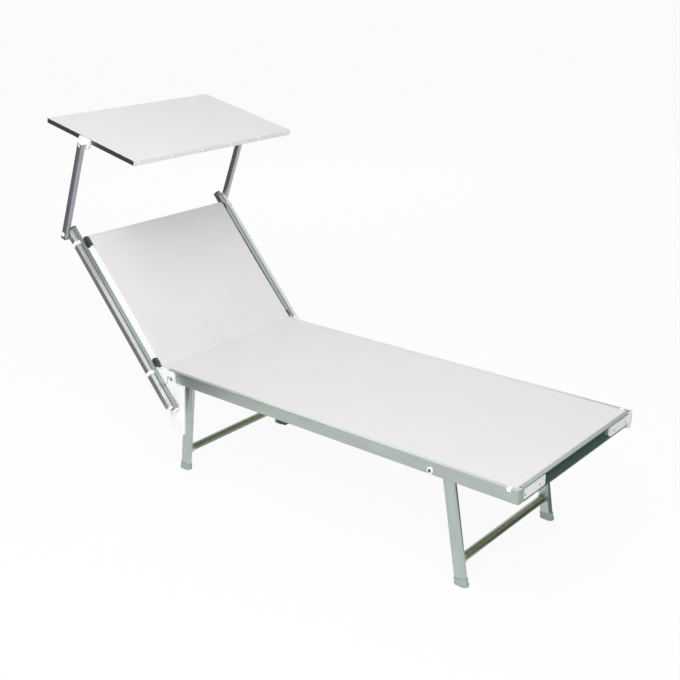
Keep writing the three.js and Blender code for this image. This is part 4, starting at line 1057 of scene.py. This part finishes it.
# Backrest rails: dark plugs in their upper ends, white ones in their lower ends
BACK_RAIL_IN, BACK_RAIL_OUT = 0.317, 0.332
BACK_RAIL_HALF = 0.011
RAIL_PLUG_ROUND = 0.0012
RAIL_PLUGS = (  # name, from and to along the rail, proud of the rail, finish, slot
    ("upper", 0.557, 0.5608, 0.0006, dark_nylon, "dark_nylon"),
    ("lower", -0.1372, -0.131, 0.0002, white_nylon, "white_nylon"),
)
for side, sign in SIDES:
    for end, low_up, high_up, proud, finish, slot in RAIL_PLUGS:
        low_y, high_y = sorted((sign * (BACK_RAIL_IN - proud), sign * (BACK_RAIL_OUT + proud)))
        half = BACK_RAIL_HALF + proud
        plug = soft_box((low_up, low_y, -half), (high_up, high_y, half), RAIL_PLUG_ROUND,
                        axes=(BACK_UP, LEFT, BACK_OUT), origin=HINGE)
        finished(plug, f"rail_plug_{end}_{side}", finish)
        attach(plug, "backrest")

# Floor, light and background
FLOOR_SIZE = 160
FLOOR_DROP = 0.0005
FLOOR_GLOW = 0.9  # share of the floor that is plain white in the picture
PLAIN_LIGHT = 0.60


def background_share(finish):
    """1 for rays that should see the white background."""
    rays = finish.add("ShaderNodeLightPath")
    seen = finish.math("MAXIMUM", rays.outputs["Is Camera Ray"], rays.outputs["Is Glossy Ray"])
    return finish.math("MAXIMUM", seen, rays.outputs["Is Transmission Ray"])


def pale_floor():
    """White in the picture, but for the object's shadow."""
    finish = Nodes("pale floor", (0.9, 0.9, 0.9), 0.9)
    glow = finish.add("ShaderNodeEmission")
    glow.inputs["Color"].default_value = (1, 1, 1, 1)
    glow.inputs["Strength"].default_value = 1.0
    blend = finish.add("ShaderNodeMixShader")
    share = finish.math("MULTIPLY", background_share(finish), FLOOR_GLOW)
    finish.link(share, blend.inputs["Fac"])
    finish.link(finish.shader.outputs[0], blend.inputs[1])
    finish.link(glow.outputs[0], blend.inputs[2])
    output = finish.tree.nodes["Material Output"]
    finish.link(blend.outputs[0], output.inputs["Surface"])
    return finish.material


def light_world():
    """Plain light on the object, and pure white for rays that see the background."""
    world = bpy.data.worlds.new("studio")
    world.use_nodes = True
    scene.world = world
    tree = world.node_tree
    plain = tree.nodes["Background"]
    plain.inputs["Color"].default_value = (1, 1, 1, 1)
    plain.inputs["Strength"].default_value = PLAIN_LIGHT
    white = tree.nodes.new("ShaderNodeBackground")
    white.inputs["Color"].default_value = (1, 1, 1, 1)
    white.inputs["Strength"].default_value = 1.0
    rays = tree.nodes.new("ShaderNodeLightPath")
    mix = tree.nodes.new("ShaderNodeMixShader")
    seen = tree.nodes.new("ShaderNodeMath")
    seen.operation = "MAXIMUM"
    through = tree.nodes.new("ShaderNodeMath")
    through.operation = "MAXIMUM"
    tree.links.new(rays.outputs["Is Camera Ray"], seen.inputs[0])
    tree.links.new(rays.outputs["Is Glossy Ray"], seen.inputs[1])
    tree.links.new(seen.outputs[0], through.inputs[0])
    tree.links.new(rays.outputs["Is Transmission Ray"], through.inputs[1])
    tree.links.new(through.outputs[0], mix.inputs["Fac"])
    tree.links.new(plain.outputs[0], mix.inputs[1])
    tree.links.new(white.outputs[0], mix.inputs[2])
    tree.links.new(mix.outputs[0], tree.nodes["World Output"].inputs["Surface"])


def softbox(name, at, target, size, watts):
    light = bpy.data.lights.new(name, "AREA")
    light.shape = "RECTANGLE"
    light.size, light.size_y = size
    light.energy = watts
    lamp = bpy.data.objects.new(name, light)
    scene.collection.objects.link(lamp)
    lamp.visible_camera = False
    lamp.location = at
    lamp.rotation_mode = "QUATERNION"
    lamp.rotation_quaternion = (Vector(target) - Vector(at)).to_track_quat("-Z", "Y")


bpy.ops.object.select_all(action="DESELECT")
bpy.ops.mesh.primitive_plane_add(size=FLOOR_SIZE, location=(0, 0, -FLOOR_DROP))
floor = bpy.context.object
floor.name = "floor"
floor.data.materials.append(pale_floor())
light_world()
softbox("key", (2.0, -2.5, 3.3), (-0.1, 0.0, 0.5), (2.2, 2.2), 66)
softbox("head", (0.4, -1.2, 3.0), (-0.4, 0.0, 0.7), (1.2, 1.2), 13)
softbox("back", (-4.05, 4.0, 2.9), (-0.1, 0.0, 0.5), (5.2, 2.6), 48)
softbox("front", (0.4, -4.2, 1.3), (-0.1, 0.0, 0.4), (3.0, 1.4), 31)

# Black cards beside the set, which only metal sees, so that bright tubes get dark edges
card_finish = Nodes("black card", (0.04, 0.043, 0.042), 0.9)
card_finish.link(
    card_finish.ramp(card_finish.noise(card_finish.place(size=(0.4, 0.4, 0.4))),
                     [(0.3, (0.035, 0.038, 0.037)), (0.7, (0.045, 0.048, 0.047))]),
    card_finish.shader.inputs["Base Color"])


def dark_card(name, low, high, normal):
    """A card between two opposite corners, flat along one of the frame's axes."""
    bpy.ops.object.select_all(action="DESELECT")
    middle = (Vector(low) + Vector(high)) / 2
    bpy.ops.mesh.primitive_plane_add(size=1, location=middle)
    card = bpy.context.object
    card.name = name
    size = Vector(high) - Vector(low)
    width, height = (Vector([size[axis] if axis == side else 0 for axis in range(3)])
                     for side in range(3) if size[side] > 0)
    card.matrix_world = Matrix((width, height, normal)).transposed().to_4x4()
    card.matrix_world.translation = middle
    for ray in ("camera", "diffuse", "transmission", "shadow", "volume_scatter"):
        setattr(card, f"visible_{ray}", False)
    card.data.materials.append(card_finish.material)


dark_card("card_left", (-2.2, -3.4, 0.02), (-2.2, 0.4, 1.3), (1, 0, 0))
dark_card("card_far", (-0.4, 3.6, 0.02), (5.0, 3.6, 2.0), (0, -1, 0))
dark_card("card_low", (0.72, 0.0, 0.001), (4.5, 3.6, 0.001), (0, 0, 1))
dark_card("card_low_left", (-4.5, -4.0, 0.001), (-0.85, -0.5, 0.001), (0, 0, 1))

# Camera, solved from the photograph's straight edges
CAMERA_AT = Vector((FOOT_FACE + 1.1761, -2.3567, 1.6604))
AZIMUTH, ELEVATION, ROLL = 0.7060831, 0.3567247, -0.0150270
FOCAL_LENGTH, PHOTO_WIDTH = 1067.93, 680  # pixels of the photograph
SENSOR = 36


def place_camera():
    look = Vector((-math.sin(AZIMUTH) * math.cos(ELEVATION),
                   math.cos(AZIMUTH) * math.cos(ELEVATION), -math.sin(ELEVATION)))
    right = Vector((math.cos(AZIMUTH), math.sin(AZIMUTH), 0))
    upright = right.cross(look)
    camera_right = right * math.cos(ROLL) + upright * math.sin(ROLL)
    camera_up = upright * math.cos(ROLL) - right * math.sin(ROLL)
    lens = bpy.data.cameras.new("camera")
    lens.sensor_width = SENSOR
    lens.lens = FOCAL_LENGTH / PHOTO_WIDTH * SENSOR
    camera = bpy.data.objects.new("camera", lens)
    scene.collection.objects.link(camera)
    turn = Matrix((camera_right, camera_up, -look)).transposed().to_4x4()
    camera.matrix_world = Matrix.Translation(CAMERA_AT) @ turn
    scene.camera = camera


place_camera()
scene.view_settings.view_transform = "Standard"
